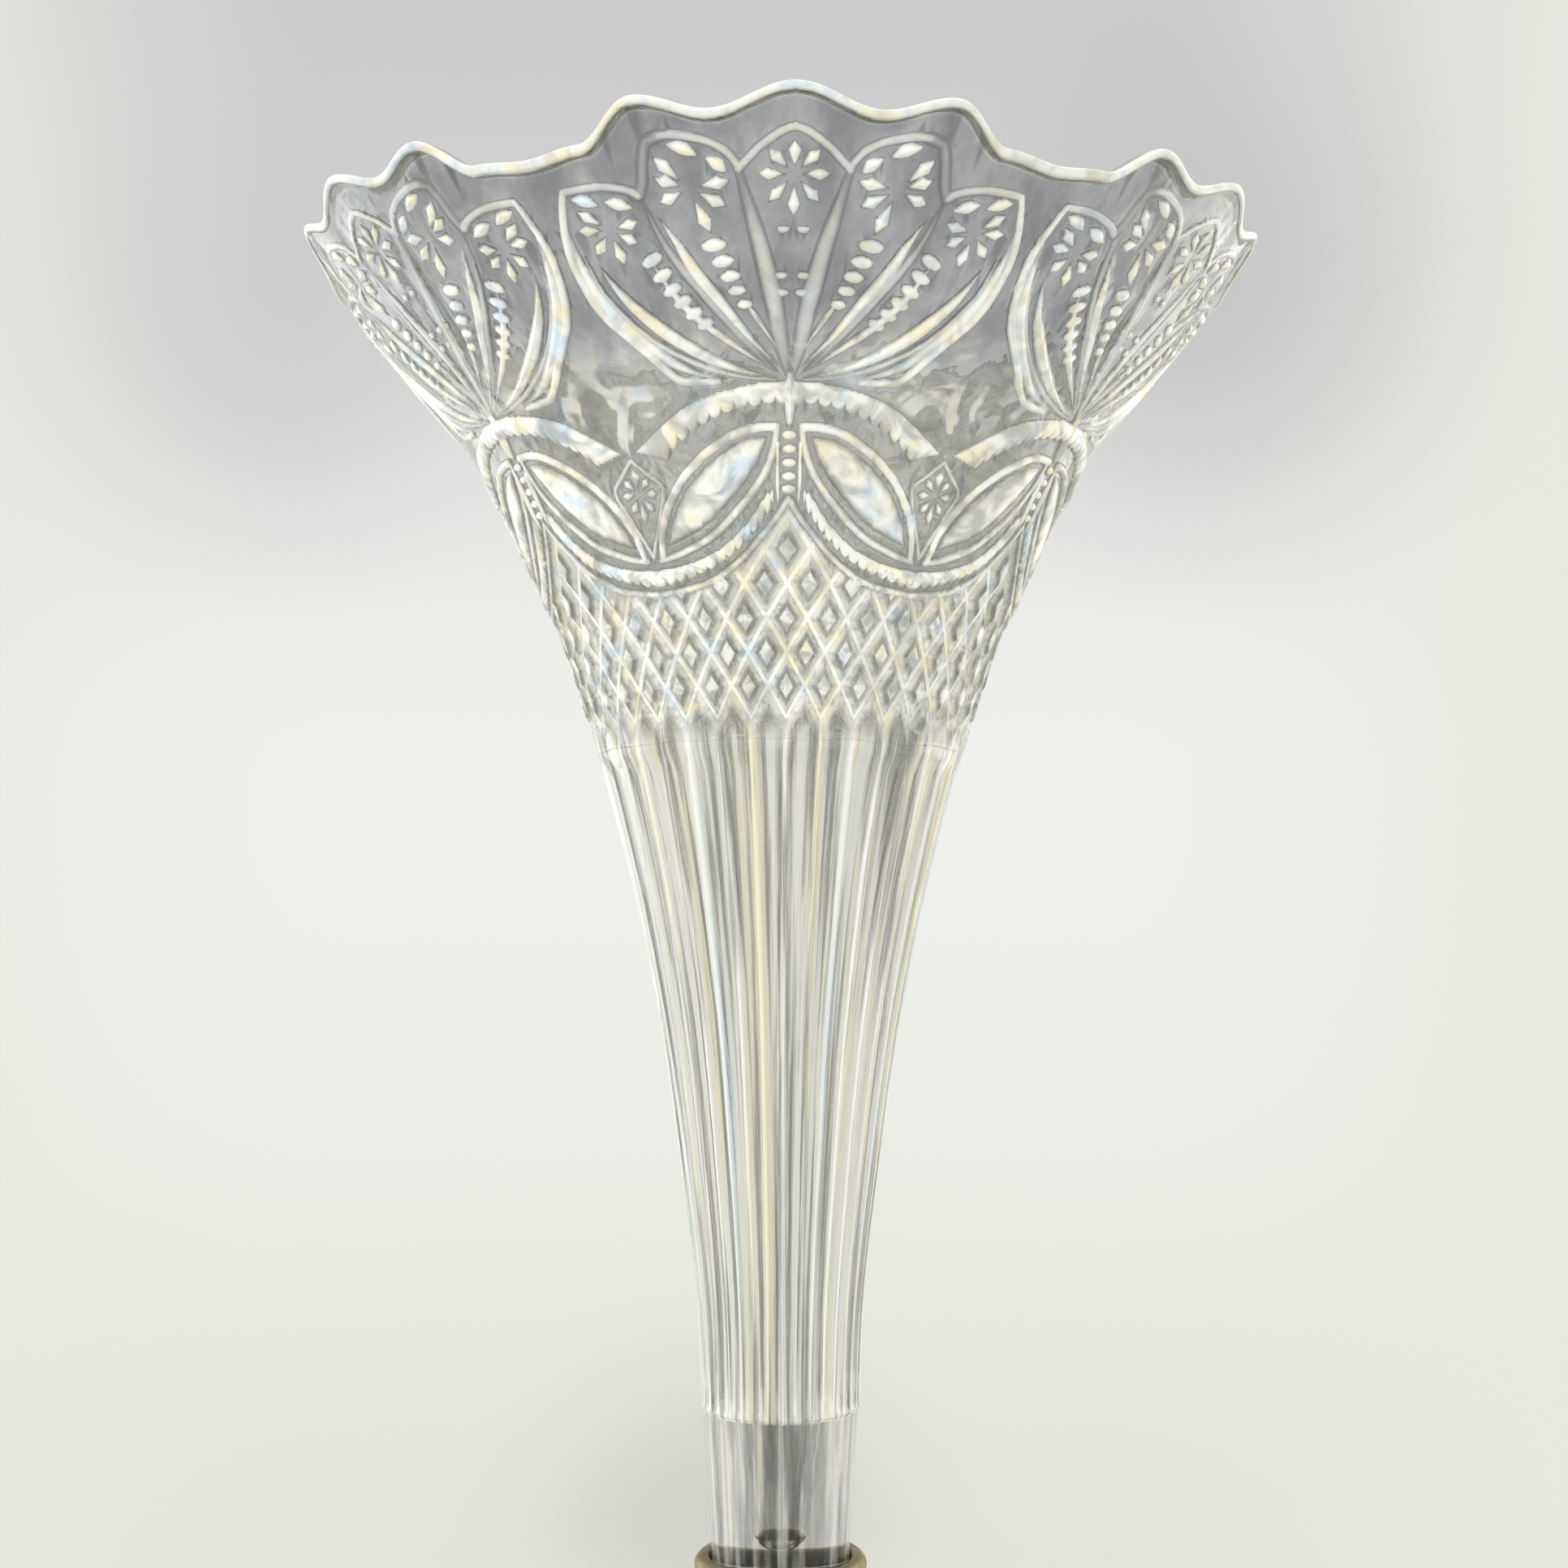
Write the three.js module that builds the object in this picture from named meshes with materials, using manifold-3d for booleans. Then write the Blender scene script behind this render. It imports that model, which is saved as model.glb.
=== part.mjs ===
// A pressed glass cornet vase standing in a turned brass foot. Millimetres, +Z up.
// The origin is the middle of the felt under the foot, on the surface that the vase stands on.
import * as THREE from "three";
import { mergeVertices } from "three/addons/utils/BufferGeometryUtils.js";
import Module from "manifold-3d";

const solids = await Module();
solids.setup();

// Clearances
const GAP = 0.3;
const SOCKET_CLEARANCE = 0.35;
const ROD_CLEARANCE = 0.3;

// Glass, heights counted from the top of the foot's collar
const GLASS_HEIGHT = 199.5;
const SHOULDER_HEIGHT = 22;
const PEG_SHOULDER_RADIUS = 11.8;
const PEG_COLLAR_RADIUS = 10.45;
const PEG_HIDDEN_LENGTH = 16;
const PEG_CHAMFER = 0.6;
const SHOULDER_RADIUS = 12.05;
const LOWER_FLUTE_HEIGHT = 37.5;
const LOWER_FLUTE_RADIUS = 12.75;
const WAIST_HEIGHT = 52;
const WAIST_RADIUS = 14.4;
const MIDDLE_HEIGHT = 81;
const MIDDLE_RADIUS = 18.6;
const UPPER_FLUTE_HEIGHT = 110;
const UPPER_FLUTE_RADIUS = 25.1;
const DIAMOND_HEIGHT = 138;
const DIAMOND_RADIUS = 33.9;
const ARCH_HEIGHT = 167;
const ARCH_RADIUS = 48.4;
const FAN_HEIGHT = 187.3;
const FAN_RADIUS = 64.8;
const RIM_RADIUS = 74.8;

// Flutes round the lower body
const FLUTE_COUNT = 36;
const COLUMNS_PER_FLUTE = 3;
const FLUTE_TOP_HEIGHT = 119;
const FLUTE_END_LENGTH = 5;
const FLUTE_DEPTH_SHARE = 0.17;

// Scalloped rim: six like sectors, each with a middle lobe, two side lobes and a long hollow
const RIM_SECTORS = 6;
const SIDE_DIP_ANGLE = 8.8;
const SIDE_DIP_DEPTH = 2.7;
const SIDE_LOBE_ANGLE = 16.4;
const SIDE_LOBE_DEPTH = 0.8;
const CORNER_ANGLE = 24.5;
const CORNER_DEPTH = 5.2;
const HOLLOW_DEPTH = 5.9;
const SCALLOP_START_HEIGHT = 180;
const RIM_EDGE_RADIUS = 1.2;

// Pressed ornament above the flutes: the wall between its raised forms lies inside the outline
const ORNAMENT_INSET = 0.35;
const ORNAMENT_SINK = 0.5;
const UPPER_COLUMNS_PER_FLUTE = 2;
const UPPER_ROWS = 6;
const FLUTE_ROWS = 7;

// Diamonds: a slanting net of grooves with a pyramid in each mesh
const DIAMOND_FOOT_HEIGHT = 124.2;
const DIAMOND_TALL = 9.1;
const DIAMOND_GROOVE = 0.95;
const DIAMOND_RISE = 0.1;

// Lines of one half sector: degrees from the middle of a fan and depth below the rim at each point
const FIELD_TOP = [[0, 46.1], [3.2, 49.2], [8.4, 52.9], [15.4, 56.1], [30, 57.9]];
const ARCH_RIB = [[-4, 33.1], [0, 32.9], [9, 33.7], [18, 36.3], [27, 39.3]];
const LENS_RIB = [[1, 37.4], [9, 38.1], [16, 40.9], [23, 45.7], [28.4, 53.6]];
const CUSHION_RIB = [[2.4, 38.2], [9, 42.2], [15.5, 45.8], [22, 49.3], [28, 52.6]];
const FESTOON_RIB = [[1.6, 39.4], [5, 46.3], [10.2, 50.4], [18, 53.4], [30, 55.1], [34, 54.9]];
const BORDER_RIB = [[26.6, 9.4], [28.6, 16.5], [26.2, 23.5], [20.2, 29.5], [9, 31.7]];
const INNER_SPEAR = [[17, 12.2], [12.4, 19.6], [6.5, 26.3], [0.6, 30.9]];
const OUTER_SPEAR = [[26, 15.8], [21.7, 23], [12.4, 28.9], [1, 31.4]];
const ARCH_HALF_WIDTH = 1.3;
const ARCH_RISE = 0.75;
const LENS_HALF_WIDTH = 0.95;
const LENS_RISE = 0.7;
const CUSHION_HALF_WIDTH = 2.6;
const CUSHION_RISE = 0.6;
const FESTOON_HALF_WIDTH = 1;
const FESTOON_RISE = 0.65;
const BORDER_HALF_WIDTH = 0.8;
const BORDER_RISE = 0.5;
const SPEAR_HALF_WIDTH = 1.05;
const SPEAR_RISE = 0.75;

// Hollow that the flowers stand in
const CAVITY_TIP_HEIGHT = 1.5;
const CAVITY_TIP_RADIUS = 2.4;
const WALL_AT_SHOULDER = 7.5;
const WALL_AT_RIM = 4.2;
const HOLLOW_SEGMENTS = 48;

// Brass foot
const FELT_THICKNESS = 1.2;
const BASE_RADIUS = 48;
const BASE_EDGE_CLEARANCE = 0.8;
const BASE_EDGE_HEIGHT = 3.2;
const BASE_EDGE_ROUND = 0.9;
const BASE_STEP_WIDTH = 3.6;
const BASE_STEP_HEIGHT = 2.4;
const DOME_HEIGHT = 24;
const DOME_WALL = 1.6;
const DOME_TOP_RADIUS = 10.8;
const DOME_SWEEP = 1.5;
const STEM_LENGTH = 18.4;
const STEM_FOOT_RADIUS = 9.4;
const STEM_BEAD_RADIUS = 1.7;
const STEM_NECK_RADIUS = 4.8;
const STEM_TOP_RADIUS = 6.2;
const KNOP_HEIGHT = 7.7;
const KNOP_RADIUS = 8.4;
const CUP_FLOOR = 3.2;
const CUP_FOOT_RADIUS = 6.6;
const CUP_WALL = 1.4;
const COLLAR_HEIGHT = 2.7;
const COLLAR_RADIUS = 13.1;
const SEAT_THICKNESS = 1.9;

// Iron weight and the rod that clamps the foot together
const WEIGHT_CLEARANCE = 0.8;
const ROD_RADIUS = 2.5;
const ROD_END = 0.7;
const ROD_CHAMFER = 0.5;
const NUT_HEIGHT = 4;
const NUT_ACROSS_FLATS = 8;
const WASHER_THICKNESS = 1;
const WASHER_RADIUS = 7.5;
const NUT_WELL_RADIUS = 6.4;

const TURNED_SEGMENTS = 32;
const ROUNDING = 1e-6;
const degrees = THREE.MathUtils.degToRad;
const blend = THREE.MathUtils.lerp;
const point = (radius, height) => new THREE.Vector2(radius, height);

// The stack of the foot, from the table up
const stepRadius = BASE_RADIUS - BASE_STEP_WIDTH;
const weightRadius = stepRadius - DOME_WALL - WEIGHT_CLEARANCE;
const weightBottom = FELT_THICKNESS + GAP;
const stemBottom = DOME_HEIGHT + GAP;
const stemTop = stemBottom + STEM_LENGTH;
const knopBottom = stemTop + GAP;
const knopTop = knopBottom + KNOP_HEIGHT;
const cupBottom = knopTop + GAP;
const cupFloorTop = cupBottom + CUP_FLOOR;
const cupNutBottom = cupFloorTop + GAP;
const rodTop = cupNutBottom + NUT_HEIGHT + ROD_END;
const seatLedge = rodTop + GAP;
const seatBottom = seatLedge + GAP;
const pegBottom = seatBottom + SEAT_THICKNESS + GAP;
const collarTop = pegBottom + PEG_HIDDEN_LENGTH;
const cupTop = collarTop - COLLAR_HEIGHT - GAP;
const rodBore = ROD_RADIUS + ROD_CLEARANCE;
const rodBottom = weightBottom + GAP;
const lowerNutBottom = rodBottom + ROD_END;
const washerBottom = lowerNutBottom + NUT_HEIGHT + GAP;
const wellTop = washerBottom + WASHER_THICKNESS + GAP;

const bodyStations = [
  point(SHOULDER_RADIUS, SHOULDER_HEIGHT),
  point(LOWER_FLUTE_RADIUS, LOWER_FLUTE_HEIGHT),
  point(WAIST_RADIUS, WAIST_HEIGHT),
  point(MIDDLE_RADIUS, MIDDLE_HEIGHT),
  point(UPPER_FLUTE_RADIUS, UPPER_FLUTE_HEIGHT),
  point(DIAMOND_RADIUS, DIAMOND_HEIGHT),
  point(ARCH_RADIUS, ARCH_HEIGHT),
  point(FAN_RADIUS, FAN_HEIGHT),
  point(RIM_RADIUS, GLASS_HEIGHT),
];

// Slope of the outline at one station, taken across its neighbours
function stationSlope(index) {
  const below = bodyStations[Math.max(index - 1, 0)];
  const above = bodyStations[Math.min(index + 1, bodyStations.length - 1)];
  return (above.x - below.x) / (above.y - below.y);
}

// Outer radius of the glass body at a height above the collar: a smooth curve through the stations
function bodyRadius(height) {
  let index = 0;
  while (index < bodyStations.length - 2 && height > bodyStations[index + 1].y) {
    index += 1;
  }
  const low = bodyStations[index];
  const high = bodyStations[index + 1];
  const span = high.y - low.y;
  const t = (height - low.y) / span;
  const rise = t * t * (3 - 2 * t);
  const lowPull = t * (1 - t) * (1 - t) * span * stationSlope(index);
  const highPull = t * t * (1 - t) * span * stationSlope(index + 1);
  return blend(low.x, high.x, rise) + lowPull - highPull;
}

// Radius of the plain ground peg, a straight taper from the shoulder down
function pegRadius(height) {
  return blend(PEG_COLLAR_RADIUS, PEG_SHOULDER_RADIUS, height / SHOULDER_HEIGHT);
}

// Inner radius of the glass, which narrows to the round tip of the hollow
function cavityRadius(height) {
  if (height < SHOULDER_HEIGHT) {
    const share = (height - CAVITY_TIP_HEIGHT) / (SHOULDER_HEIGHT - CAVITY_TIP_HEIGHT);
    return blend(CAVITY_TIP_RADIUS, SHOULDER_RADIUS - WALL_AT_SHOULDER, share);
  }
  const share = (height - SHOULDER_HEIGHT) / (GLASS_HEIGHT - SHOULDER_HEIGHT);
  return bodyRadius(height) - blend(WALL_AT_SHOULDER, WALL_AT_RIM, share);
}

// How far the rim lies below its highest lobe, in one direction round the vase
function rimDrop(angle) {
  const sector = 360 / RIM_SECTORS;
  const turn = Math.abs(angle - sector * Math.round(angle / sector));
  const knots = [
    [0, 0],
    [SIDE_DIP_ANGLE, SIDE_DIP_DEPTH],
    [SIDE_LOBE_ANGLE, SIDE_LOBE_DEPTH],
    [CORNER_ANGLE, CORNER_DEPTH],
    [sector / 2, HOLLOW_DEPTH],
  ];
  let index = 0;
  while (index < knots.length - 2 && turn > knots[index + 1][0]) {
    index += 1;
  }
  const share = (turn - knots[index][0]) / (knots[index + 1][0] - knots[index][0]);
  const ease = (1 - Math.cos(Math.PI * Math.min(share, 1))) / 2;
  return blend(knots[index][1], knots[index + 1][1], ease);
}

// How far the scallops pull a point of the upper wall down along its slope
function scallopDrop(height, angle) {
  const share = Math.max(0, height - SCALLOP_START_HEIGHT) / (GLASS_HEIGHT - SCALLOP_START_HEIGHT);
  return share * rimDrop(angle);
}

// Depth of the flutes at a height: none at the shoulder, full along the body, run out at the top
function fluteDepth(height) {
  const aboveShoulder = (height - SHOULDER_HEIGHT) / FLUTE_END_LENGTH;
  const belowTop = (FLUTE_TOP_HEIGHT - height) / FLUTE_END_LENGTH;
  const share = THREE.MathUtils.clamp(Math.min(aboveShoulder, belowTop), 0, 1);
  const pitch = (2 * Math.PI * bodyRadius(height)) / FLUTE_COUNT;
  return share * FLUTE_DEPTH_SHARE * pitch;
}

// Evenly spaced heights from one to another, both ends included
function levels(from, to, count) {
  return Array.from({ length: count }, (_, index) => blend(from, to, index / (count - 1)));
}

// A geometry from points and from the numbers of its triangles' corners
function indexed(points, corners) {
  const geometry = new THREE.BufferGeometry();
  const places = points.flatMap((place) => place.toArray());
  geometry.setAttribute("position", new THREE.Float32BufferAttribute(places, 3));
  geometry.setIndex(corners);
  return geometry;
}

// A closed geometry as a solid that can be joined and cut
function toSolid(geometry) {
  geometry.deleteAttribute("normal");
  geometry.deleteAttribute("uv");
  const merged = mergeVertices(geometry, 1e-4);
  const corners = Array.from(merged.index.array);
  const sound = [];
  for (let face = 0; face < corners.length; face += 3) {
    const [a, b, c] = corners.slice(face, face + 3);
    if (a !== b && b !== c && c !== a) {
      sound.push(a, b, c);
    }
  }
  return new solids.Manifold(
    new solids.Mesh({
      numProp: 3,
      vertProperties: new Float32Array(merged.getAttribute("position").array),
      triVerts: new Uint32Array(sound),
    }),
  );
}

// The triangles of a solid as a geometry
function toGeometry(solid) {
  const mesh = solid.getMesh();
  const geometry = new THREE.BufferGeometry();
  geometry.setAttribute("position", new THREE.BufferAttribute(mesh.vertProperties, 3));
  geometry.setIndex(new THREE.BufferAttribute(mesh.triVerts, 1));
  return geometry;
}

// Depth below the rim of a half sector's line, mirrored and repeated round the vase, at one angle
function lineDepth(line, angle) {
  const sector = 360 / RIM_SECTORS;
  const turn = Math.abs(angle - sector * Math.round(angle / sector));
  const after = Math.max(1, line.findIndex(([place]) => turn <= place));
  const [start, low] = line[after - 1];
  const [end, high] = line[after];
  return blend(low, high, (turn - start) / (end - start));
}

// How far a point of the diamond field lies outside the outline: groove crossings sunk, pyramid tips raised
function diamondRise(row, column, height, angle) {
  if (GLASS_HEIGHT - height < lineDepth(FIELD_TOP, angle)) {
    return -ORNAMENT_INSET;
  }
  const onGroove = (row + column) % 2 === 0;
  const tipRise = row === 0 ? 0 : DIAMOND_RISE;
  return onGroove ? -DIAMOND_GROOVE : tipRise;
}

// One ring of points round the axis, from a radius and a height above the collar at each column
function ringOf(columns, radiusAndHeight) {
  return Array.from({ length: columns }, (_, column) => {
    const angle = (360 * column) / columns;
    const [radius, height] = radiusAndHeight(angle, column);
    const turn = degrees(angle);
    return new THREE.Vector3(radius * Math.sin(turn), collarTop + height, radius * Math.cos(turn));
  });
}

// A ring of the upper wall: a radius at a height, with more columns where the scallops pull it down the wall
function scallopedRing(radius, height, rise = () => 0) {
  const scalloped = height > SCALLOP_START_HEIGHT;
  return ringOf(FLUTE_COUNT * (scalloped ? COLUMNS_PER_FLUTE : UPPER_COLUMNS_PER_FLUTE), (angle, column) => {
    const drop = scallopDrop(height, angle);
    const inset = bodyRadius(height) - bodyRadius(height - drop);
    return [radius - inset + rise(angle, column), height - drop];
  });
}

// Triangles between two rings; where their columns match, each square is split along its shorter diagonal
function stitch(corners, low, lowFirst, high, highFirst) {
  let below = 0;
  let above = 0;
  while (below < low.length || above < high.length) {
    const nextBelow = (below + 1) % low.length;
    const nextAbove = (above + 1) % high.length;
    const start = low[below % low.length];
    const over = high[above % high.length];
    const lead = (below + 1) / low.length - (above + 1) / high.length;
    const stepBelow = start.distanceTo(high[nextAbove]) > over.distanceTo(low[nextBelow]) + ROUNDING;
    if (lead < -ROUNDING || (lead < ROUNDING && stepBelow)) {
      corners.push(lowFirst + (below % low.length), lowFirst + nextBelow, highFirst + (above % high.length));
      below += 1;
    } else {
      corners.push(lowFirst + (below % low.length), highFirst + nextAbove, highFirst + (above % high.length));
      above += 1;
    }
  }
}

// A closed solid from rings of points stacked upwards, with a point on the axis at each end
function shellToSolid(bottom, rings, top) {
  const points = [bottom, ...rings.flat(), top];
  const corners = [];
  let first = 1;
  rings.forEach((ring, index) => {
    const end = first + ring.length;
    if (index === 0) {
      stitch(corners, [bottom], 0, ring, first);
    }
    if (index < rings.length - 1) {
      stitch(corners, ring, first, rings[index + 1], end);
    } else {
      stitch(corners, ring, first, [top], end);
    }
    first = end;
  });
  return toSolid(indexed(points, corners));
}

// The glass without its hollow: a plain peg, the fluted body, the diamonds and the scalloped rim
function makeGlassBody() {
  const plainColumns = FLUTE_COUNT * UPPER_COLUMNS_PER_FLUTE;
  const plain = (radius, height) => ringOf(plainColumns, () => [radius, height]);
  const fluted = (height) =>
    ringOf(FLUTE_COUNT * COLUMNS_PER_FLUTE, (angle, column) => {
      const depth = column % COLUMNS_PER_FLUTE === 0 ? 0 : fluteDepth(height);
      return [bodyRadius(height) - depth, height];
    });
  const pegEnd = pegRadius(-PEG_HIDDEN_LENGTH);
  const rings = [
    plain(pegEnd - PEG_CHAMFER, -PEG_HIDDEN_LENGTH),
    plain(pegEnd, PEG_CHAMFER - PEG_HIDDEN_LENGTH),
    plain(PEG_SHOULDER_RADIUS, SHOULDER_HEIGHT),
    ...levels(SHOULDER_HEIGHT + GAP, FLUTE_TOP_HEIGHT - FLUTE_END_LENGTH, FLUTE_ROWS).map(fluted),
    plain(bodyRadius(FLUTE_TOP_HEIGHT), FLUTE_TOP_HEIGHT),
  ];
  const fieldRows = Math.floor((GLASS_HEIGHT - FIELD_TOP[0][1] - DIAMOND_FOOT_HEIGHT) / (DIAMOND_TALL / 2));
  const fieldEnd = DIAMOND_FOOT_HEIGHT + (fieldRows * DIAMOND_TALL) / 2;
  for (let row = 0; row <= fieldRows; row += 1) {
    const height = DIAMOND_FOOT_HEIGHT + (row * DIAMOND_TALL) / 2;
    rings.push(scallopedRing(bodyRadius(height), height, (angle, column) => diamondRise(row, column, height, angle)));
  }
  const edge = GLASS_HEIGHT - RIM_EDGE_RADIUS;
  const upper = levels(fieldEnd, edge, UPPER_ROWS + 1).slice(1, -1);
  rings.push(...upper.map((height) => scallopedRing(bodyRadius(height) - ORNAMENT_INSET, height)));
  rings.push(scallopedRing(bodyRadius(edge), edge));
  const rimInset = RIM_EDGE_RADIUS / 2;
  rings.push(scallopedRing(RIM_RADIUS - rimInset, GLASS_HEIGHT));
  rings.push(scallopedRing(RIM_RADIUS - WALL_AT_RIM + rimInset, GLASS_HEIGHT));
  rings.push(scallopedRing(RIM_RADIUS - 2 * WALL_AT_RIM, GLASS_HEIGHT - WALL_AT_RIM));
  const bottom = new THREE.Vector3(0, collarTop - PEG_HIDDEN_LENGTH, 0);
  const top = new THREE.Vector3(0, collarTop + GLASS_HEIGHT - WALL_AT_RIM, 0);
  return shellToSolid(bottom, rings, top);
}

// The hollow with its round tip, as a solid that reaches past the rim
function makeHollow() {
  const above = GLASS_HEIGHT + WALL_AT_RIM;
  const outline = [
    point(0, CAVITY_TIP_HEIGHT),
    point(CAVITY_TIP_RADIUS * Math.SQRT1_2, CAVITY_TIP_HEIGHT + CAVITY_TIP_RADIUS * (1 - Math.SQRT1_2)),
    point(cavityRadius(CAVITY_TIP_HEIGHT + CAVITY_TIP_RADIUS), CAVITY_TIP_HEIGHT + CAVITY_TIP_RADIUS),
    ...levels(SHOULDER_HEIGHT, GLASS_HEIGHT, 9).map((height) => point(cavityRadius(height), height)),
    point(cavityRadius(GLASS_HEIGHT) + WALL_AT_RIM, above),
    point(0, above),
  ];
  const geometry = new THREE.LatheGeometry(outline, HOLLOW_SEGMENTS);
  geometry.translate(0, collarTop, 0);
  return toSolid(geometry);
}

// A point over the wall at degrees round and a height, moved out square to the wall by a rise
function onWall(angle, height, rise) {
  const slope = (bodyRadius(height + 0.1) - bodyRadius(height - 0.1)) / 0.2;
  const slant = Math.hypot(1, slope);
  const radius = bodyRadius(height) - ORNAMENT_INSET + rise / slant;
  const lift = collarTop + height - (rise * slope) / slant;
  return new THREE.Vector3(radius * Math.sin(degrees(angle)), lift, radius * Math.cos(degrees(angle)));
}

// A rib along a path on the wall: two flanks that meet in a ridge, its foot sunk in the wall, its ends pointed
function makeRib(path, halfWidth, rise, leafShaped) {
  const last = path.length - 1;
  const rings = path.slice(1, last).map(([angle, height], index) => {
    const along = onWall(...path[index + 2], 0).sub(onWall(...path[index], 0)).normalize();
    const middle = onWall(angle, height, 0);
    const out = onWall(angle, height, 1).sub(middle).normalize();
    const across = along.cross(out).normalize();
    const size = leafShaped ? Math.sin((Math.PI * (index + 1)) / last) : 1;
    const foot = halfWidth * (size + ORNAMENT_SINK / rise);
    const section = [
      [foot, -ORNAMENT_SINK],
      [-foot, -ORNAMENT_SINK],
      [0, rise * size],
    ];
    return section.map(([aside, up]) => middle.clone().addScaledVector(across, aside).addScaledVector(out, up));
  });
  return shellToSolid(onWall(...path[0], -ORNAMENT_SINK / 2), rings, onWall(...path[last], -ORNAMENT_SINK / 2));
}

// The ribs of every half sector, each path turned to its sector and mirrored for the other half
function makeRibs() {
  const kinds = [
    [ARCH_RIB, ARCH_HALF_WIDTH, ARCH_RISE, false],
    [LENS_RIB, LENS_HALF_WIDTH, LENS_RISE, false],
    [CUSHION_RIB, CUSHION_HALF_WIDTH, CUSHION_RISE, true],
    [FESTOON_RIB, FESTOON_HALF_WIDTH, FESTOON_RISE, false],
    [BORDER_RIB, BORDER_HALF_WIDTH, BORDER_RISE, false],
    [INNER_SPEAR, SPEAR_HALF_WIDTH, SPEAR_RISE, true],
    [OUTER_SPEAR, SPEAR_HALF_WIDTH, SPEAR_RISE, true],
  ];
  const ribs = [];
  for (let sector = 0; sector < RIM_SECTORS; sector += 1) {
    for (const side of [1, -1]) {
      for (const [path, halfWidth, rise, leafShaped] of kinds) {
        const middle = (360 * sector) / RIM_SECTORS;
        const placed = path.map(([angle, depth]) => [middle + side * angle, GLASS_HEIGHT - depth]);
        ribs.push(makeRib(placed, halfWidth, rise, leafShaped));
      }
    }
  }
  return ribs;
}

// The whole glass: body and ribs joined, and the hollow cut out
function makeGlass() {
  const raised = solids.Manifold.union([makeGlassBody(), ...makeRibs()]);
  return toGeometry(raised.subtract(makeHollow()));
}

// A ring or disc turned from a closed outline that runs up the outside and down the bore
function turned(outline) {
  return new THREE.LatheGeometry([...outline, outline[0]], TURNED_SEGMENTS);
}

// Points of an arc in an outline, from one direction to another in degrees
function arc(centreRadius, centreHeight, size, from, to, count) {
  return levels(from, to, count).map((angle) =>
    point(
      centreRadius + size * Math.cos(degrees(angle)),
      centreHeight + size * Math.sin(degrees(angle)),
    ),
  );
}

// A disc cut from felt, as wide as the weight that it is glued under
function makeFelt() {
  return new THREE.LatheGeometry(
    [point(0, 0), point(weightRadius, 0), point(weightRadius, FELT_THICKNESS), point(0, FELT_THICKNESS)],
    TURNED_SEGMENTS,
  );
}

// The dome's outside above its step: it sweeps from nearly level at the step to steep at the stem
function domeSweep(shares) {
  const stepTop = BASE_EDGE_CLEARANCE + BASE_EDGE_HEIGHT + BASE_STEP_HEIGHT;
  return shares.map((share) =>
    point(blend(stepRadius, DOME_TOP_RADIUS, share), blend(stepTop, DOME_HEIGHT, share ** DOME_SWEEP)),
  );
}

// An outline that climbs inwards, moved in by a wall square to its own direction
function insetOutline(outline, wall) {
  return outline.map((here, index) => {
    const before = outline[Math.max(index - 1, 0)];
    const after = outline[Math.min(index + 1, outline.length - 1)];
    const along = after.clone().sub(before).normalize();
    return point(here.x - wall * along.y, here.y + wall * along.x);
  });
}

// The spun brass dome of the foot, open below and bored for the rod
function makeDome() {
  const edgeTop = BASE_EDGE_CLEARANCE + BASE_EDGE_HEIGHT;
  const innerRadius = BASE_RADIUS - DOME_WALL;
  const outerSweep = domeSweep(levels(0, 1, 8));
  const innerSweep = insetOutline(outerSweep, DOME_WALL).slice(1, -1);
  return turned([
    point(innerRadius, BASE_EDGE_CLEARANCE),
    point(BASE_RADIUS, BASE_EDGE_CLEARANCE),
    point(BASE_RADIUS, edgeTop - BASE_EDGE_ROUND),
    point(BASE_RADIUS - BASE_EDGE_ROUND, edgeTop),
    point(stepRadius, edgeTop),
    ...outerSweep,
    point(rodBore, DOME_HEIGHT),
    point(rodBore, DOME_HEIGHT - DOME_WALL),
    point(DOME_TOP_RADIUS - DOME_WALL, DOME_HEIGHT - DOME_WALL),
    ...innerSweep.reverse(),
    point(stepRadius - DOME_WALL, edgeTop + BASE_STEP_HEIGHT - DOME_WALL),
    point(stepRadius - DOME_WALL, edgeTop - DOME_WALL),
    point(innerRadius, edgeTop - DOME_WALL),
  ]);
}

// The cast weight that fills the dome, with a hub under the dome's top and a well for the nut
function makeWeight() {
  const hubTop = DOME_HEIGHT - DOME_WALL - GAP;
  const underDome = insetOutline(domeSweep(levels(0.1, 0.9, 6)), DOME_WALL + WEIGHT_CLEARANCE);
  return turned([
    point(WASHER_RADIUS + GAP, weightBottom),
    point(weightRadius, weightBottom),
    point(weightRadius, underDome[0].y),
    ...underDome.filter((corner) => corner.x < weightRadius && corner.y < hubTop),
    point(DOME_TOP_RADIUS - DOME_WALL - WEIGHT_CLEARANCE, hubTop),
    point(rodBore, hubTop),
    point(rodBore, wellTop),
    point(WASHER_RADIUS + GAP, wellTop),
  ]);
}

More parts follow.
